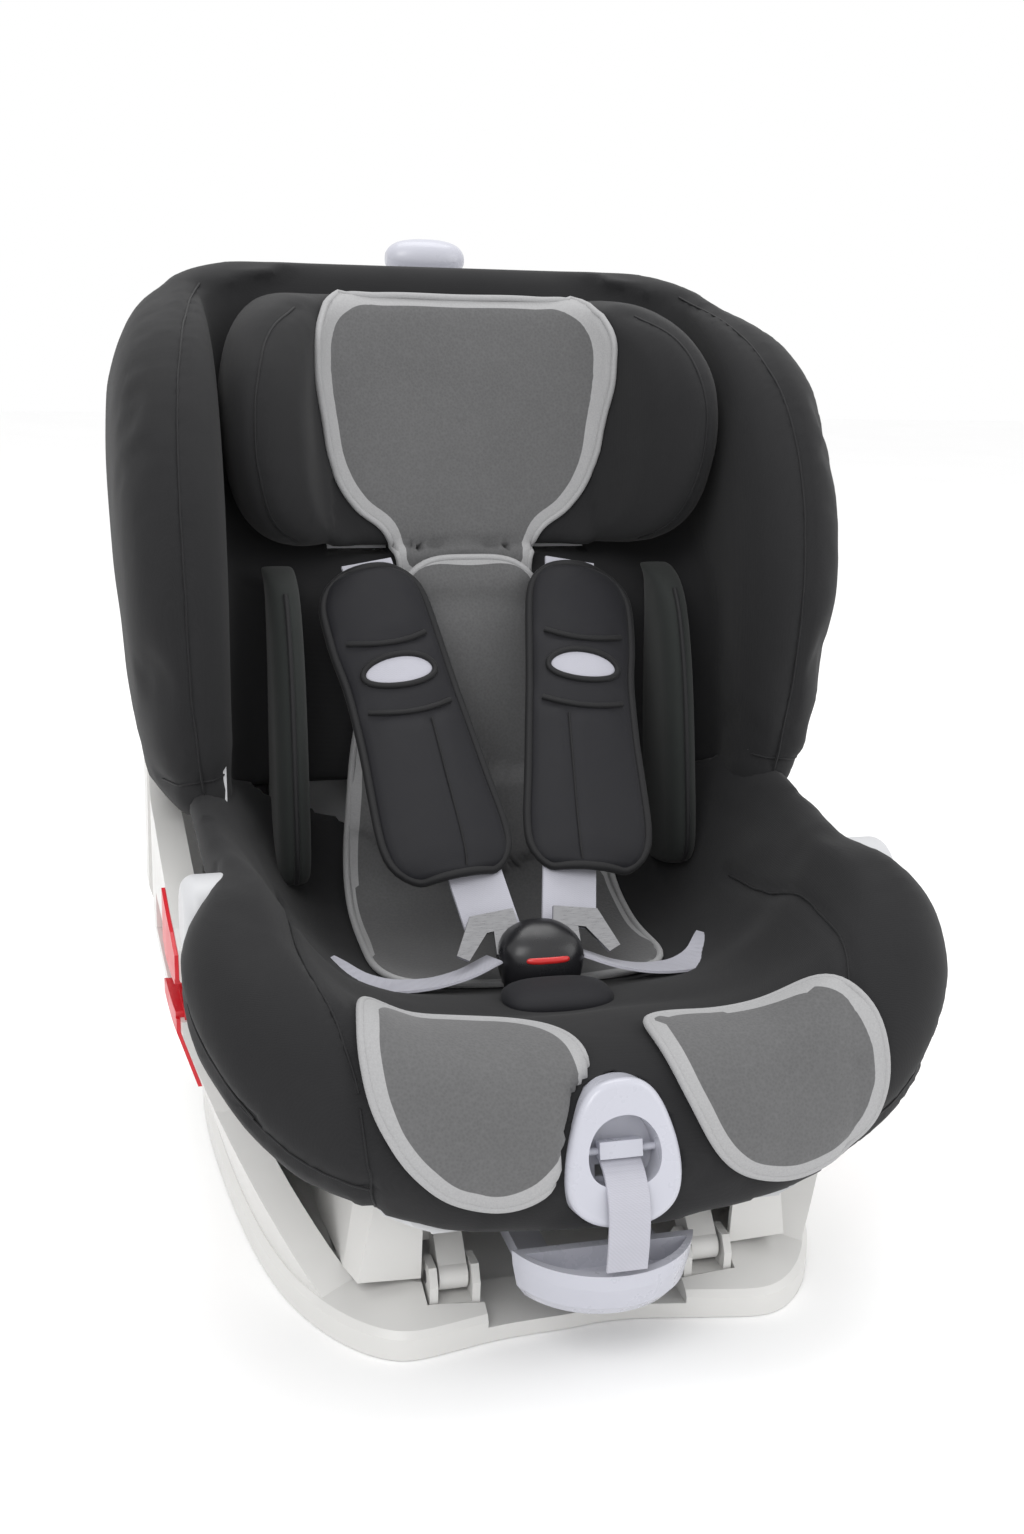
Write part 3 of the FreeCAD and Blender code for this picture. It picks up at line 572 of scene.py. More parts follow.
def spread(points, count):
    """Even points along a smooth line through the given ones."""
    curve = bpy.data.curves.new("line", "CURVE")
    curve.dimensions = "3D"
    spline = curve.splines.new("BEZIER")
    spline.bezier_points.add(len(points) - 1)
    for b, p in zip(spline.bezier_points, points):
        b.co = p
        b.handle_left_type = b.handle_right_type = "AUTO"
    spline.resolution_u = 24
    obj = new_object("line", curve)
    deps = bpy.context.evaluated_depsgraph_get()
    deps.update()
    mesh = obj.evaluated_get(deps).to_mesh()
    line = [v.co.copy() for v in mesh.vertices]
    obj.evaluated_get(deps).to_mesh_clear()
    bpy.data.objects.remove(obj)
    lengths = [0.0]
    for a, b in zip(line, line[1:]):
        lengths.append(lengths[-1] + (b - a).length)
    out, k = [], 0
    for i in range(count):
        want = lengths[-1] * i / (count - 1)
        while k < len(lengths) - 2 and lengths[k + 1] < want:
            k += 1
        gap = lengths[k + 1] - lengths[k]
        out.append(line[k].lerp(line[k + 1], (want - lengths[k]) / gap if gap > 0 else 0.0))
    return out


def seam(obj, guide, direction, count=70, depth=2.8, width=8.5, radius=0.8, name="seam"):
    """Sewn seam: a pressed line in the cover with a thin cord of thread in it."""
    tree = bvh(obj)
    line = []
    for p in spread([pt(*g) for g in guide], count):
        hit = on_surface(tree, p, direction, 0.0)
        if hit is not None:
            line.append(hit)
    if len(line) < 3:
        return None
    press(obj, line, depth, width)
    tree = bvh(obj)
    laid = []
    for p in line:
        near, normal, _, _ = tree.find_nearest(p)
        laid.append(near + normal * (radius * 0.2 * MM))
    for _ in range(2):
        laid = [laid[0]] + [(a + b * 2 + c) / 4 for a, b, c in zip(laid, laid[1:], laid[2:])] + [laid[-1]]
    return tube(name, laid, radius * MM)


def press(obj, line, depth, width):
    """Push a furrow into a piece along a line."""
    from mathutils.kdtree import KDTree
    tree = KDTree(len(line))
    for i, p in enumerate(line):
        tree.insert(p, i)
    tree.balance()
    reach = width * MM

    def amount(co, normal):
        _, _, d = tree.find(co)
        if d >= reach:
            return 0.0
        return -depth * MM * (1 - (d / reach) ** 2) ** 2
    move_along_normals(obj, amount)


BACKWARD = Vector((0, 1, 0))
DOWN = Vector((0, 0, -1))


def make_back_cover():
    rings = [back_ring(*row) for row in BACK_ROWS]
    z, w, yf, wi, fl = BACK_ROWS[-1]
    rings.append(back_ring(BACK_TOP_Z, w - 20, yf + 18, wi - 20, fl + 8))
    cover = subdivide(c_loft("back_cover", rings, 9), 2)

    def still(co):
        inner = smoothstep(0.200, 0.215, abs(co.x))
        return 0.15 + 0.85 * inner
    puff(cover, COVER_VOXEL, 0.006, still)
    slots = [box_mesh("slot", s * 77 - 22.5, s * 77 + 22.5, 40, 320, 420.5, 590) for s in (-1, 1)]
    carve(cover, slots)
    wrinkle(cover, (14, 26, 40), 0.0035,
            lambda co: smoothstep(0.37, 0.29, co.z) * (1.0 if co.x > 0.15 else 0.35)
            * smoothstep(0.15, 0.2, abs(co.x)))
    wrinkle(cover, (9, 9, 9), 0.0016, lambda co: smoothstep(0.19, 0.215, abs(co.x)))
    seams = []
    for s in (-1, 1):
        guide = [(s * 206, -60, 282), (s * 212, -60, 330), (s * 216, -60, 400),
                 (s * 218, -60, 465), (s * 217, -50, 520), (s * 211, -40, 565),
                 (s * 200, -20, 595), (s * 184, 0, 611)]
        seams.append(seam(cover, guide, BACKWARD, 80))
        waist = [(s * 190, -60, 293), (s * 208, -60, 290), (s * 224, -60, 288),
                 (s * 233, -60, 287)]
        seams.append(seam(cover, waist, BACKWARD, 24))
    return cover, join([x for x in seams if x], "back_cover_seams")


# ---- seat cover ----
# outer, shoulder, crest, inner shoulder, seat edge, lower edge: each (x, y, z)
SEAT_STATIONS = [
    [(0, -284, 118), (0, -277, 158), (0, -254, 181), (0, -222, 187), (0, -176, 182), (0, -280, 81)],
    [(58, -284, 120), (58, -277, 160), (58, -254, 182), (57, -222, 188), (54, -176, 182),
     (58, -281, 84)],
    [(112, -282, 126), (112, -275, 166), (110, -250, 190), (106, -216, 192), (98, -172, 183),
     (110, -278, 92)],
    [(148, -277, 142), (150, -270, 188), (148, -240, 214), (138, -205, 204), (116, -165, 184),
     (140, -273, 100)],
    [(186, -268, 152), (192, -258, 212), (186, -226, 246), (165, -194, 223), (126, -155, 184),
     (166, -264, 111)],
    [(208, -259, 160), (224, -242, 226), (206, -208, 267), (177, -179, 239), (132, -140, 182),
     (182, -254, 117)],
    [(219, -243, 166), (242, -218, 233), (212, -190, 280), (181, -160, 250), (136, -128, 180),
     (190, -240, 120)],
    [(223, -214, 168), (250, -190, 240), (212, -166, 289), (183, -140, 258), (138, -112, 178),
     (192, -212, 120)],
    [(219, -180, 166), (244, -158, 245), (209, -140, 291), (183, -118, 259), (140, -95, 176),
     (190, -180, 118)],
    [(209, -146, 164), (227, -130, 247), (204, -112, 289), (182, -92, 258), (140, -70, 174),
     (188, -146, 116)],
    [(198, -118, 196), (216, -102, 254), (204, -84, 282), (179, -62, 250), (138, -45, 172),
     (184, -118, 114)],
    [(197, -70, 224), (223, -60, 262), (209, -50, 288), (178, -35, 252), (142, -20, 172),
     (184, -70, 113)],
    [(197, -10, 234), (224, -5, 268), (210, -5, 292), (176, 0, 256), (140, 5, 172),
     (182, -10, 112)],
    [(197, 50, 244), (222, 45, 276), (206, 40, 296), (172, 40, 268), (136, 40, 180),
     (180, 50, 118)],
    [(197, 90, 185), (202, 88, 255), (192, 82, 292), (168, 78, 275), (132, 66, 195),
     (178, 78, 134)]]


def make_seat_cover():
    """One padded tub: front roll, thigh bolsters and the seat between them."""
    verts, faces = [], []
    stations = []
    for s in range(-len(SEAT_STATIONS) + 1, len(SEAT_STATIONS)):
        row = SEAT_STATIONS[abs(s)]
        side = -1 if s < 0 else 1
        o, sh, cr, ins, edge, low = [(side * x, y, z) for x, y, z in row]
        under = (low[0] * 0.95, low[1] * 0.97 + 2, low[2] + 3)
        mid = (edge[0] * 0.96, edge[1], min(low[2] + 22, edge[2] - 30))
        stations.append([mid, under, low, o, sh, cr, ins, edge])
    k = len(stations[0])
    for st in stations:
        verts += [pt(*p) for p in st]
    for a in range(len(stations) - 1):
        for i in range(k - 1):
            faces.append((a * k + i, a * k + i + 1, (a + 1) * k + i + 1, (a + 1) * k + i))
    last = len(stations) - 1
    middle = last // 2

    def bridge(col, dip):
        """Fill between left and right seat edges, row by row."""
        rows = []
        for s in range(middle):
            left, right = s * k + col, (last - s) * k + col
            a, b = verts[left], verts[right]
            row = [left]
            for f in (0.25, 0.5, 0.75):
                p = a.lerp(b, f)
                p.z -= dip * MM * math.sin(math.pi * f)
                row.append(len(verts))
                verts.append(p)
            rows.append(row + [right])
        for r, s in zip(rows, rows[1:]):
            for i in range(4):
                faces.append((r[i], r[i + 1], s[i + 1], s[i]))
        e = rows[-1]
        m = middle * k + col
        for i in range(4):
            faces.append((e[i], e[i + 1], m))
        return rows[0]

    top = bridge(7, 9)
    low = bridge(0, 0)
    faces.append(tuple([0] + list(range(1, k - 1)) + [k - 1] + top[1:4]
                       + [last * k + i for i in range(k - 1, -1, -1)] + low[3:0:-1]))
    cover = subdivide(mesh_object("seat_cover", verts, faces), 2)

    def still(co):
        y = co.y / MM - ORIGIN_SHIFT
        return smoothstep(-90, -130, y) * 0.85 + 0.15
    puff(cover, COVER_VOXEL, 0.006, still)
    carve(cover, [adjuster_cutter()])
    wrinkle(cover, (11, 11, 13), 0.0022, lambda co: 1.0)
    wrinkle(cover, (30, 12, 30), 0.0022,
            lambda co: smoothstep(-0.12, -0.06, co.y) * smoothstep(0.15, 0.17, abs(co.x)))
    seams = []
    for s in (-1, 1):
        side = Vector((-s, 0, 0))
        edge = [(s * 300, -96, 262), (s * 300, -128, 256), (s * 300, -165, 238),
                (s * 300, -200, 214), (s * 300, -228, 190), (s * 300, -246, 168)]
        seams.append(seam(cover, edge, side, 60))
        front = [(s * 214, -330, 172), (s * 190, -330, 150), (s * 168, -330, 138),
                 (s * 146, -330, 130)]
        seams.append(seam(cover, front, BACKWARD, 30))
        corner = [(s * 150, -330, 178), (s * 147, -330, 150), (s * 143, -330, 122),
                  (s * 139, -330, 106)]
        seams.append(seam(cover, corner, BACKWARD, 30))
        inner = [(s * 150, -262, 330), (s * 162, -220, 330), (s * 168, -180, 330),
                 (s * 168, -140, 330), (s * 164, -90, 330), (s * 160, -30, 330)]
        seams.append(seam(cover, inner, DOWN, 60))
    return cover, join([x for x in seams if x], "seat_cover_seams")


ADJ_TILT = math.radians(16.0)
ADJ_CENTRE = (0.0, -276.0, 143.0)
ADJ_GROWTH = 1.015     # room round the bezel
EGG = [(0, 43), (18, 37), (29, 18), (35, -8), (31, -30), (16, -41), (0, -43)]


def adjuster_cutter():
    """Egg-shaped plug where the adjuster bezel sits, along its tilted axis."""
    ring = both_sides(EGG)
    n = len(ring)
    c, d = math.cos(ADJ_TILT), math.sin(ADJ_TILT)
    verts = []
    for depth in (-40, 60):
        for x, z in ring:
            z *= ADJ_GROWTH
            verts.append(pt(x * ADJ_GROWTH, ADJ_CENTRE[1] + depth * c + z * d,
                            ADJ_CENTRE[2] - depth * d + z * c))
    faces = skin(2, n)
    faces.append(tuple(range(n)))
    faces.append(tuple(range(2 * n - 1, n - 1, -1)))
    return mesh_object("adjuster_cutter", verts, faces, False)


# ---- headrest ----
# height, outer half width, front edge of the ear, inner half width, floor
HEAD_ROWS = [
    (427, 120, 124, 96, 137), (431, 140, 104, 104, 136), (441, 158, 86, 112, 138),
    (460, 172, 71, 118, 141), (490, 179, 61, 122, 147), (520, 181, 58, 124, 152),
    (548, 180, 62, 124, 157), (572, 175, 78, 122, 161), (590, 165, 102, 116, 164),
    (600, 153, 128, 108, 166), (606, 138, 154, 100, 172)]


def head_ring(z, w, yf, wi, fl):
    rear = 152.5 + (z - 424) * TAN
    deep = rear - yf
    w2 = w - wi
    r = [(0, rear, z), (60, rear, z), (100, rear, z), (w - 26, rear, z), (w - 7, rear - 6, z),
         (w, rear - 0.4 * deep, z), (w - 2, yf + 0.16 * deep, z)]
    tip = (w - w2 * 0.42, yf, z)
    f = [(0, fl, z), (50, fl - 0.5, z), (82, fl - 3, z), (wi - 14, fl - 12, z),
         (wi - 4, yf + 0.62 * (fl - yf), z), (wi + 2, yf + 0.38 * (fl - yf), z),
         (wi + w2 * 0.24, yf + 0.12 * deep, z)]
    return c_ring(r, tip, f)


def make_headrest():
    pad = subdivide(c_loft("headrest_cover", [head_ring(*row) for row in HEAD_ROWS], 7), 2)

    def still(co):
        return 0.12 if abs(co.x) < 0.1 else smoothstep(0.19, 0.13, co.y) * 0.88 + 0.12
    puff(pad, HEAD_VOXEL, 0.004, still)
    wrinkle(pad, (12, 12, 12), 0.0016, lambda co: smoothstep(0.1, 0.12, abs(co.x)))
    seams = []
    for s in (-1, 1):
        rim = [(s * 128, -60, 436), (s * 146, -60, 450), (s * 158, -60, 480), (s * 163, -60, 520),
               (s * 159, -60, 556), (s * 147, -60, 584), (s * 126, -60, 598)]
        seams.append(seam(pad, rim, BACKWARD, 60, 1.8, 8.0, 0.9))
    return pad, join([x for x in seams if x], "headrest_seams")


# ---- liner ----
def disc_sheet(name, outline, centre, place, rings, count, rim):
    """Sheet of cloth: a closed outline drawn in its own plane, laid down by place(p).

    The outer rim of it, rim wide, is the pale binding."""
    closed = [Vector((*p, 0.0)) for p in outline]
    line = spread(closed + closed[:1], count + 1)[:-1]
    c = Vector((*centre, 0.0))
    verts, values = [place(c, 0.0)], [0.0]
    for f in [(i + 1) / rings for i in range(rings)]:
        for p in line:
            reach = (p - c).length
            inside = reach * (1 - f)
            q = c + (p - c) * f
            verts.append(place(q, inside))
            values.append(1.0 if inside < rim else 0.0)
    n = len(line)
    obj = mesh_object(name, verts, disc_faces(rings, n))
    layer = obj.data.attributes.new("binding", "FLOAT", "POINT")
    layer.data.foreach_set("value", values)
    return obj, [verts[1 + (rings - 1) * n + i] for i in range(n)]


def eased(sheet, edge, rings, times):
    """Smooth a laid sheet and give back its edge line, eased the same way."""
    smooth = sheet.modifiers.new("smooth", "SMOOTH")
    smooth.factor = 0.5
    smooth.iterations = times
    apply_modifiers(sheet)
    n = len(edge)
    first = 1 + (rings - 1) * n
    line = [sheet.data.vertices[i].co.copy() for i in range(first, first + n)]
    for _ in range(times):
        line = [(line[i - 1] + line[i] * 2 + line[(i + 1) % n]) / 4 for i in range(n)]
    for i, p in enumerate(line):
        sheet.data.vertices[first + i].co = p
    return sheet, line


def area_of(obj):
    return sum(p.area for p in obj.data.polygons)


def finish_sheet(obj, edge, thick, binding_radius, name):
    """Give a sheet its thickness and a rounded binding."""
    solid = obj.modifiers.new("thick", "SOLIDIFY")
    solid.thickness = thick
    solid.offset = 0.0
    apply_modifiers(obj)
    cord = tube(name, edge, binding_radius, True)
    cord.data.attributes.new("binding", "FLOAT", "POINT")
    cord.data.attributes["binding"].data.foreach_set("value", [1.0] * len(cord.data.vertices))
    piece = join([obj, cord], obj.name)
    return piece


def make_liner_head(head):
    tree = bvh(head)
    outline = both_sides([(0, 606), (60, 606), (94, 603), (108, 590), (112, 560), (106, 520),
                          (98, 484), (82, 458), (58, 438), (50, 420), (46, 404), (0, 401)])

    def place(p, inside):
        lift = 3.4 - 1.4 * math.exp(-inside / 12.0)
        x, z = p.x, p.y
        start = pt(x, 20, z)
        hit = on_surface(tree, start, BACKWARD, lift * MM) if z > 428 else None
        if hit is None:
            y = 131.0 + (z - 428) * TAN * 0.75 - 3.0
            return pt(x, y, z)
        return hit
    sheet, edge = disc_sheet("liner_head", outline, (0, 515), place, 26, 150, 10.5)
    return sheet, edge


def make_liner_back(back, seat):
    trees = (bvh(back), bvh(seat))
    outline = both_sides([(0, 426), (40, 424), (54, 404), (64, 380), (82, 330), (95, 270),
                          (101, 215), (103, 170), (103, 120), (98, 66), (60, 58), (0, 56)])

    def place(p, inside):
        lift = 3.6 - 1.2 * math.exp(-inside / 12.0)
        x, h = p.x, p.y
        eye = pt(x, -150, 400)
        aim = pt(x, 66 + (h - 172) * 0.2, h) if h > 186 else pt(x, 69 - 170 * (186 - h) / 130, 176)
        hits = [on_surface(tree, eye, aim - eye, lift * MM) for tree in trees]
        hits = [hit for hit in hits if hit is not None]
        if not hits or h > 395:
            return pt(x, 109 - lift + (h - 402) * 0.25, h)
        return min(hits, key=lambda hit: (hit - eye).length)
    sheet, edge = disc_sheet("liner_body", outline, (0, 240), place, 34, 170, 10.5)
    return eased(sheet, edge, 34, 10)


ROLL_AXIS = (-214.0, 128.0)


def make_leg_flap(seat, side):
    """Flap over the front roll; (x, angle round the roll) in its own plane, 1 mm arc = 1 mm."""
    tree = bvh(seat)
    radius = 66.0
    if side < 0:
        outline = [(-146, 0), (-134, -12), (-108, -16), (-70, -14), (-38, -6), (-20, 10), (-12, 36),
                   (-15, 64), (-32, 94), (-58, 112), (-88, 112), (-116, 96), (-138, 66), (-148, 30)]
        centre = (-80, 46)
    else:
        outline = [(30, 2), (46, -2), (80, 2), (116, 4), (144, 8), (163, 20), (172, 44),
                   (168, 72), (150, 98), (120, 112), (90, 112), (62, 98), (44, 68), (33, 34)]
        centre = (106, 54)

    def place(p, inside):
        lift = 6.6 - 2.2 * math.exp(-inside / 14.0)
        angle = p.y / radius
        direction = Vector((0, -math.sin(angle), math.cos(angle)))
        start = pt(p.x, *ROLL_AXIS)
        far = start + direction * 0.25
        hit = on_surface(tree, far, -direction, lift * MM)
        return hit if hit is not None else start + direction * 0.075
    name = "leg_flap_cloth_left" if side < 0 else "leg_flap_cloth_right"
    return eased(*disc_sheet(name, outline, centre, place, 16, 110, 11.0), 16, 5)


# ---- harness ----
STRAP_TOP = (77.0, 112.0, 420.0)
STRAP_LOW = (26.0, -84.0, 206.0)
WEB_T = 1.6
SLEEVE_LOW = 40.0


def ribbon(name, line, normals, half_w, thick):
    """A flat band along a line: four corners at each point."""
    verts = []
    for i, p in enumerate(line):
        a, b = line[max(i - 1, 0)], line[min(i + 1, len(line) - 1)]
        along = (b - a).normalized()
        out = (normals[i] - along * normals[i].dot(along)).normalized()
        side = along.cross(out)
        w, t = half_w * MM, thick * MM / 2
        for u, v in ((-w, -t), (-w * 0.98, t), (w * 0.98, t), (w, -t)):
            verts.append(p + side * u + out * v)
    faces = skin(len(line), 4)
    faces.append((0, 1, 2, 3))
    e = (len(line) - 1) * 4
    faces.append((e + 3, e + 2, e + 1, e))
    return mesh_object(name, verts, faces, False)


def strap_axis(side, reach=STRAP_LOW[0]):
    top = pt(side * STRAP_TOP[0], *STRAP_TOP[1:])
    low = pt(side * reach, *STRAP_LOW[1:])
    run = low - top
    out = Vector((0, -1, 0.6))
    out = (out - run * out.dot(run) / run.length_squared).normalized()
    return top, low, run, out


def make_shoulder_strap(side):
    top, low, run, out = strap_axis(side)
    line = []
    for i in range(25):
        f = i / 24
        line.append(top + run * f + out * MM * 3.0 * math.sin(math.pi * min(f * 1.05, 1.0)))
    name = "shoulder_webbing_left" if side < 0 else "shoulder_webbing_right"
    return ribbon(name, line, [out] * len(line), 19, WEB_T)


SLEEVE_ROWS = [
    (0.035, 20, 18), (0.05, 30, 25), (0.08, 38, 31), (0.14, 43, 34), (0.24, 43, 35),
    (0.36, 40, 36), (0.5, 41, 38), (0.64, 44, 40), (0.75, 46, 42), (0.81, 44, 41), (0.85, 36, 34),
    (0.865, 27, 26)]


SLEEVE_RIM = 0.985                      # where the binding runs, as a share of the half width
WINDOW_AT, WINDOW_LENGTH, WINDOW_WIDTH = 0.335, 0.042, 0.68
WINDOW_POINTS, WINDOW_RINGS = 40, 7


def sleeve_point(side, f, v, above):
    """A point on a sleeve: f along the strap, v across from -1 inside to 1 outside."""
    top, low, run, out = strap_axis(side, SLEEVE_LOW)
    across = run.cross(out).normalized()
    if across.x * side < 0:
        across = -across
    w_out, w_in = smooth_table(SLEEVE_ROWS, f)
    w = (w_out if v > 0 else w_in) * MM
    end = smoothstep(0.03, 0.10, f) * smoothstep(0.87, 0.80, f)
    crown = (1 - abs(v) ** 3.0) * (0.45 + 0.55 * end)
    curl = -5.0 * v * v * MM
    centre = top + run * f + out * (6.5 * MM)
    height = (3.0 + 5.0 * crown) * MM if above else -(1.5 + 3.5 * crown) * MM
    edge = 1 if abs(v) < 0.999 else 0
    return centre + across * (w * v) + out * (curl + height * edge)


def make_sleeve(side):
    """Padded sleeve with bound edge, two sewn ribs and a window that shows the webbing."""
    name = "shoulder_sleeve_left" if side < 0 else "shoulder_sleeve_right"
    lengths = [0.035 + 0.83 * i / 44 for i in range(45)]
    across = [-1 + 2 * j / 20 for j in range(21)]
    verts = [sleeve_point(side, f, v, above)
             for above in (True, False) for f in lengths for v in across]
    faces = []
    n, m = len(across), len(lengths)
    for b in (0, n * m):
        for i in range(m - 1):
            for j in range(n - 1):
                faces.append((b + i * n + j, b + i * n + j + 1, b + (i + 1) * n + j + 1,
                              b + (i + 1) * n + j))
    for i in (0, m - 1):
        for j in range(n - 1):
            a = i * n + j
            faces.append((a, a + 1, n * m + a + 1, n * m + a))
    pad = mesh_object(name, verts, faces)
    bm = bmesh.new()
    bm.from_mesh(pad.data)
    bmesh.ops.remove_doubles(bm, verts=bm.verts, dist=0.0003)
    bmesh.ops.recalc_face_normals(bm, faces=bm.faces)
    bm.to_mesh(pad.data)
    bm.free()

    def line(points, lift=0.0):
        out = strap_axis(side, SLEEVE_LOW)[3]
        return [sleeve_point(side, f, v, True) + out * lift * MM for f, v in points]

    def arc(f, bow, v0, v1, count=24):
        return [(f + bow * (1 - ((i / (count - 1)) * 2 - 1) ** 2), v0 + (v1 - v0) * i / (count - 1))
                for i in range(count)]
    for rib in (arc(0.222, 0.022, -0.72, 0.78), arc(0.249, 0.022, -0.72, 0.78),
                arc(0.412, 0.022, -0.78, 0.78), arc(0.439, 0.022, -0.78, 0.78)):
        press(pad, line(rib), 1.8, 6.0)
    fold = [(0.47 + 0.38 * i / 20, -0.28 + 0.12 * i / 20) for i in range(21)]
    press(pad, line(fold), 1.6, 7.0)
    v = SLEEVE_RIM
    rim = [sleeve_point(side, f, v, True) for f in lengths]
    rim += [sleeve_point(side, lengths[-1], u * v, True) for u in across[::-1]]
    rim += [sleeve_point(side, f, -v, True) for f in lengths[::-1]]
    rim += [sleeve_point(side, lengths[0], u * v, True) for u in across]
    out = strap_axis(side, SLEEVE_LOW)[3]
    rim = [p - out * 1.5 * MM for p in rim]
    for _ in range(3):
        n = len(rim)
        rim = [(rim[i - 1] + rim[i] * 2 + rim[(i + 1) % n]) / 4 for i in range(n)]
    extras = [tube("rim", rim, 0.0031, True)]
    for rib in (arc(0.235, 0.022, -0.7, 0.76), arc(0.425, 0.022, -0.76, 0.76)):
        extras.append(tube("rib", line(rib, -0.7), 0.0021))
    extras.append(tube("fold", line(fold, -0.9), 0.0007))

    def oval(size, lift):
        """Points round the window, at a share of its size."""
        turns = [2 * math.pi * i / WINDOW_POINTS for i in range(WINDOW_POINTS)]
        return line([(WINDOW_AT + WINDOW_LENGTH * size * math.sin(a),
                      0.02 + WINDOW_WIDTH * size * math.cos(a)) for a in turns], lift)
    extras.append(tube("window", oval(1.0, 0.4), 0.0023, True))
    trim = join(extras, name + "_trim")
    patch = line([(WINDOW_AT, 0.02)], 0.3)
    for r in range(WINDOW_RINGS):
        patch += oval((r + 1) / WINDOW_RINGS, 0.3)
    patch = mesh_object(name + "_window_webbing", patch, disc_faces(WINDOW_RINGS, WINDOW_POINTS))
    solid = patch.modifiers.new("thick", "SOLIDIFY")
    solid.thickness = 0.0012
    apply_modifiers(patch)
    return pad, trim, patch


def pebble(name, rows, sides=20, power=0.72):
    """Stack of rounded rectangles: (centre y, z, half x, half y) for each row."""
    verts = []
    for cy, z, hx, hy in rows:
        for i in range(sides):
            a = 2 * math.pi * i / sides
            c, d = math.cos(a), math.sin(a)
            verts.append(pt(hx * math.copysign(abs(c) ** power, c),
                            cy + hy * math.copysign(abs(d) ** power, d), z))
    faces = skin(len(rows), sides)
    faces.append(tuple(range(sides - 1, -1, -1)))
    e = (len(rows) - 1) * sides
    faces.append(tuple(range(e, e + sides)))
    return mesh_object(name, verts, faces)


# height, front edge of the wedge
WEDGE_ROWS = [(204, 44), (206, 26), (212, 12), (225, 5), (250, 9), (290, 18), (330, 27), (365, 38),
              (395, 52), (410, 66), (416, 82), (419, 98)]


def make_insert(side):
    """Wedge pad standing beside the back, with a corded front edge."""
    verts = []
    for z, yf in WEDGE_ROWS:
        ring = [(133, 112), (131, yf + 26), (131, yf + 12), (134, yf + 4), (139, yf), (146, yf),
                (151, yf + 4), (154, yf + 12), (154, yf + 26), (152, 112)]
        verts += [pt(side * x, max(y, yf) if y < 112 else max(112, yf + 8), z) for x, y in ring]
    n = len(ring)
    faces = skin(len(WEDGE_ROWS), n)
    faces.append(tuple(range(n)))
    e = (len(WEDGE_ROWS) - 1) * n
    faces.append(tuple(range(e + n - 1, e - 1, -1)))
    name = "insert_cover_left" if side < 0 else "insert_cover_right"
    pad = subdivide(mesh_object(name, verts, faces), 2)
    guide = [(side * 143, -60, z) for z in range(214, 408, 8)]
    tree = bvh(pad)
    line = [on_surface(tree, pt(*g), BACKWARD, 0.6 * MM) for g in guide]
    cord = tube(name + "_cord", [p for p in line if p is not None], 0.0019)
    return pad, cord


def make_lap_strap(side):
    line = spread([pt(side * x, y, z) for x, y, z in
                   ((30, -102, 194), (56, -108, 186), (88, -106, 181), (116, -92, 180), (138, -64, 184))],
                  22)
    up = Vector((side * 0.25, 0.15, 1)).normalized()
    name = "lap_webbing_left" if side < 0 else "lap_webbing_right"
    return ribbon(name, line, [up] * len(line), 12, WEB_T)


def make_small_parts():
    """Buckle, its red button, the crotch pad and the short straps."""
    housing = subdivide(pebble("buckle_body", [
        (-106, 169, 20, 13), (-106, 174, 24, 17), (-106, 186, 28, 20), (-105, 196, 29.5, 21),
        (-104, 205, 28, 20), (-102, 212, 22, 15), (-100, 217, 12, 8), (-100, 218.5, 5, 3)]), 1)
    button = subdivide(pebble("buckle_key", [
        (-121, 197, 14, 4), (-121, 198, 16, 5.6), (-120.5, 201, 16, 5.6), (-120, 202, 14, 4)], 16), 1)
    pad = subdivide(pebble("crotch_cover", [
        (-147, 177, 28, 15), (-147, 178.5, 36, 20), (-146, 184, 38, 22), (-145, 189, 35, 20),
        (-144, 192, 24, 13), (-144, 193, 10, 5)]), 1)
    out = Vector((0, -1, 0))
    crotch = ribbon("crotch_webbing", spread([pt(0, -116, 172), pt(0, -116, 140), pt(0, -116, 106)],
                                             10), [out] * 10, 18, WEB_T)
    line = spread([pt(*p) for p in ((0, -277, 139), (0, -289, 133), (0, -299, 120),
                                   (0, -302, 101), (0, -301, 79))],
                  18)
    pull = ribbon("adjuster_webbing", line, [out] * 18, 12.5, WEB_T)
    rear = []
    for s in (-1, 1):
        back = Vector((0, 1, -0.25)).normalized()
        path = spread([pt(s * 72, 164, 416), pt(s * 60, 192, 380), pt(s * 36, 190, 330),
                       pt(s * 14, 172, 284)], 20)
        rear.append(ribbon("rear_webbing", path, [back] * 20, 13, WEB_T))
    return housing, button, pad, crotch, pull, join(rear, "rear_webbing")


# ---- camera, light, floor ----
def make_camera():
    az, el, roll = math.radians(-15.82), math.radians(15.91), math.radians(1.98)
    target = pt(6.13, 0, 294.33)
    back = Vector((math.sin(az) * math.cos(el), -math.cos(az) * math.cos(el), math.sin(el)))
    right = (-back).cross(Vector((0, 0, 1))).normalized()
    up = right.cross(-back)
    x = right * math.cos(roll) + up * math.sin(roll)
    y = -right * math.sin(roll) + up * math.cos(roll)
    cam = bpy.data.cameras.new("camera")
    cam.sensor_fit = "AUTO"
    cam.sensor_width = 36.0
    cam.lens = 36.0 * 1806.27 / 1534.0
    cam.clip_start = 0.05
    cam.clip_end = 50
    obj = new_object("camera", cam)
    rot = Matrix((x, y, back)).transposed()
    obj.matrix_world = Matrix.Translation(target + back * 1.25981) @ rot.to_4x4()
    bpy.context.scene.camera = obj


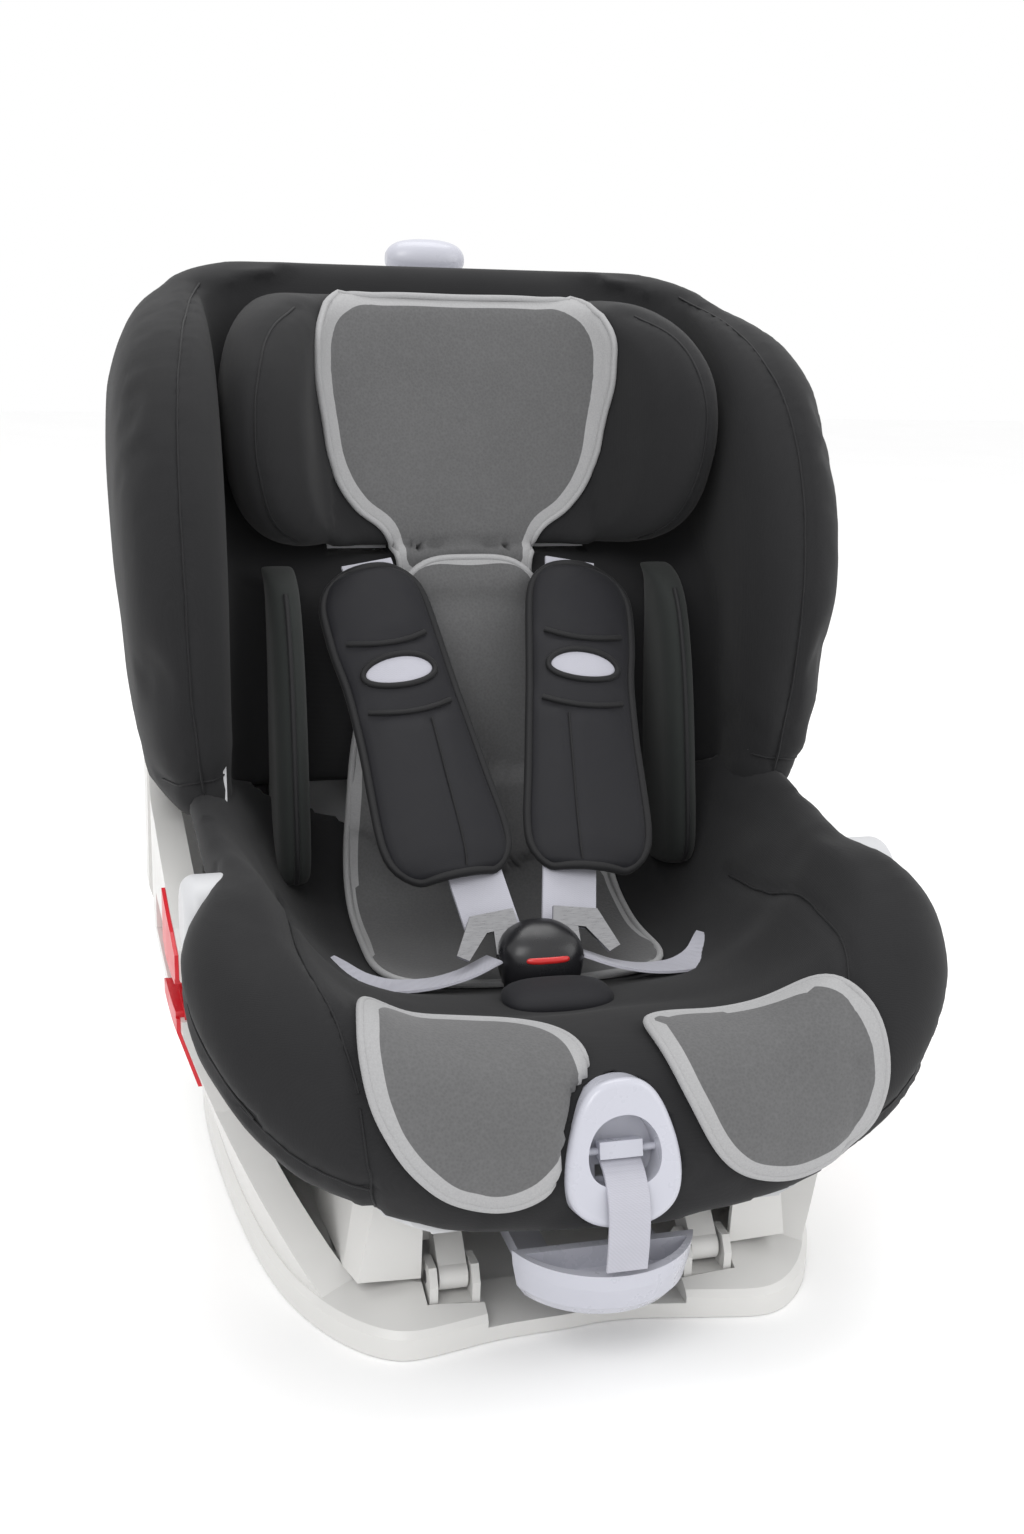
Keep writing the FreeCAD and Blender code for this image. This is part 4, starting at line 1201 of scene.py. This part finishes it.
def area_light(name, location, target, size, power, color=(1, 1, 1)):
    light = bpy.data.lights.new(name, "AREA")
    light.shape = "RECTANGLE"
    light.size, light.size_y = size
    light.energy = power
    light.color = color
    obj = new_object(name, light)
    obj.location = location
    obj.rotation_euler = (Vector(target) - Vector(location)).to_track_quat("-Z", "Y").to_euler()


def make_stage():
    n = Nodes("floor_paper")
    n.into(n.ramp(n.noise(3.0, 2.0), [(0.3, (0.965,) * 3), (0.7, (0.98,) * 3)]),
           "Base Color")
    n.shader.inputs["Roughness"].default_value = 0.9
    n.shader.inputs["Specular IOR Level"].default_value = 0.1
    floor = mesh_object("floor", [(-6, -6, -0.0006), (6, -6, -0.0006), (6, 6, -0.0006),
                                  (-6, 6, -0.0006)], [(0, 1, 2, 3)], False)
    set_material(floor, n.mat)
    world = bpy.data.worlds.new("studio")
    world.use_nodes = True
    world.node_tree.nodes["Background"].inputs[0].default_value = (1, 1, 1, 1)
    world.node_tree.nodes["Background"].inputs[1].default_value = 1.0
    bpy.context.scene.world = world
    area_light("key", (-1.3, -1.9, 2.3), (0, 0, 0.3), (1.6, 1.6), 30)
    area_light("fill", (1.9, -1.2, 1.2), (0, 0, 0.3), (1.4, 1.8), 9)
    area_light("top", (0.2, 0.6, 2.6), (0, 0.1, 0.3), (1.8, 1.2), 18)
    bpy.context.scene.view_settings.view_transform = "Standard"


make_camera()
make_stage()

# ---- the pieces and what they ride on ----
def dress(piece, material, slot, body, *nodes):
    """Finish a piece, ride it on a body and let it stand for CAD nodes."""
    set_material(piece, M[material])
    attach(piece, body)
    if nodes:
        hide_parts(*nodes)


# the covers
back_cover, back_seams = make_back_cover()
seat_cover, seat_seams = make_seat_cover()
head_cover, head_seams = make_headrest()
dress(back_cover, "cover_black", "cover_black", "shell",
      "back_wing_left", "back_wing_right", "back_cushion", "top_roll")
dress(seat_cover, "cover_black", "cover_black", "shell",
      "seat_cushion", "bolster_left", "bolster_right")
dress(head_cover, "cover_black", "cover_black", "headrest",
      "headrest_pad", "headrest_wing_left", "headrest_wing_right")
dress(back_seams, "piping", "cover_black", "shell")
dress(seat_seams, "piping", "cover_black", "shell")
dress(head_seams, "piping", "cover_black", "headrest")

# the liner: made sheet and edge, body, nodes, flat size, what it lies on
LINER = (
    (make_liner_head(head_cover), "headrest", ("liner_headrest",), (0.224, 0.21), head_cover),
    (make_liner_back(back_cover, seat_cover), "shell", ("liner_back", "liner_seat"), (0.21, 0.41),
     back_cover),
    (make_leg_flap(seat_cover, -1), "shell", ("leg_flap_left",), (0.14, 0.134), seat_cover),
    (make_leg_flap(seat_cover, 1), "shell", ("leg_flap_right",), (0.146, 0.12), seat_cover))
for (piece, edge), body, nodes, flat, below in LINER:
    area = area_of(piece)
    piece = finish_sheet(piece, edge, 0.0026, 0.0024, piece.name + "_edge")
    dress(piece, "liner_grey", "liner_grey", body, *nodes)

# the harness and the pads beside it
for side, label in ((-1, "left"), (1, "right")):
    webbing = make_shoulder_strap(side)
    sleeve, trim, window = make_sleeve(side)
    for piece, mat, slot in ((webbing, "webbing", "webbing"), (sleeve, "pad_black", "pad_black"),
                             (trim, "piping", "pad_black"), (window, "webbing", "webbing")):
        set_material(piece, M[mat])
        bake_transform(piece)
    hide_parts("shoulder_strap_" + label)
    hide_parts("shoulder_pad_" + label)
for side, label in ((-1, "left"), (1, "right")):
    insert, cord = make_insert(side)
    dress(insert, "cover_inner", "cover_black", "shell", "insert_pad_" + label)
    dress(cord, "piping", "cover_black", "shell")
    dress(make_lap_strap(side), "webbing", "webbing", "shell", "lap_strap_" + label)

# the buckle and the short straps
housing, button, crotch_cover, crotch, pull, rear = make_small_parts()
dress(housing, "black_plastic", "black_plastic", "shell", "buckle_housing")
dress(button, "button_red", "button_red", "buckle_button", "buckle_button")
dress(crotch_cover, "pad_black", "pad_black", "shell", "crotch_pad")
dress(crotch, "webbing", "webbing", "shell", "crotch_strap")
dress(pull, "webbing", "webbing", "shell", "adjuster_strap")
dress(rear, "webbing", "webbing", "shell", "rear_straps")
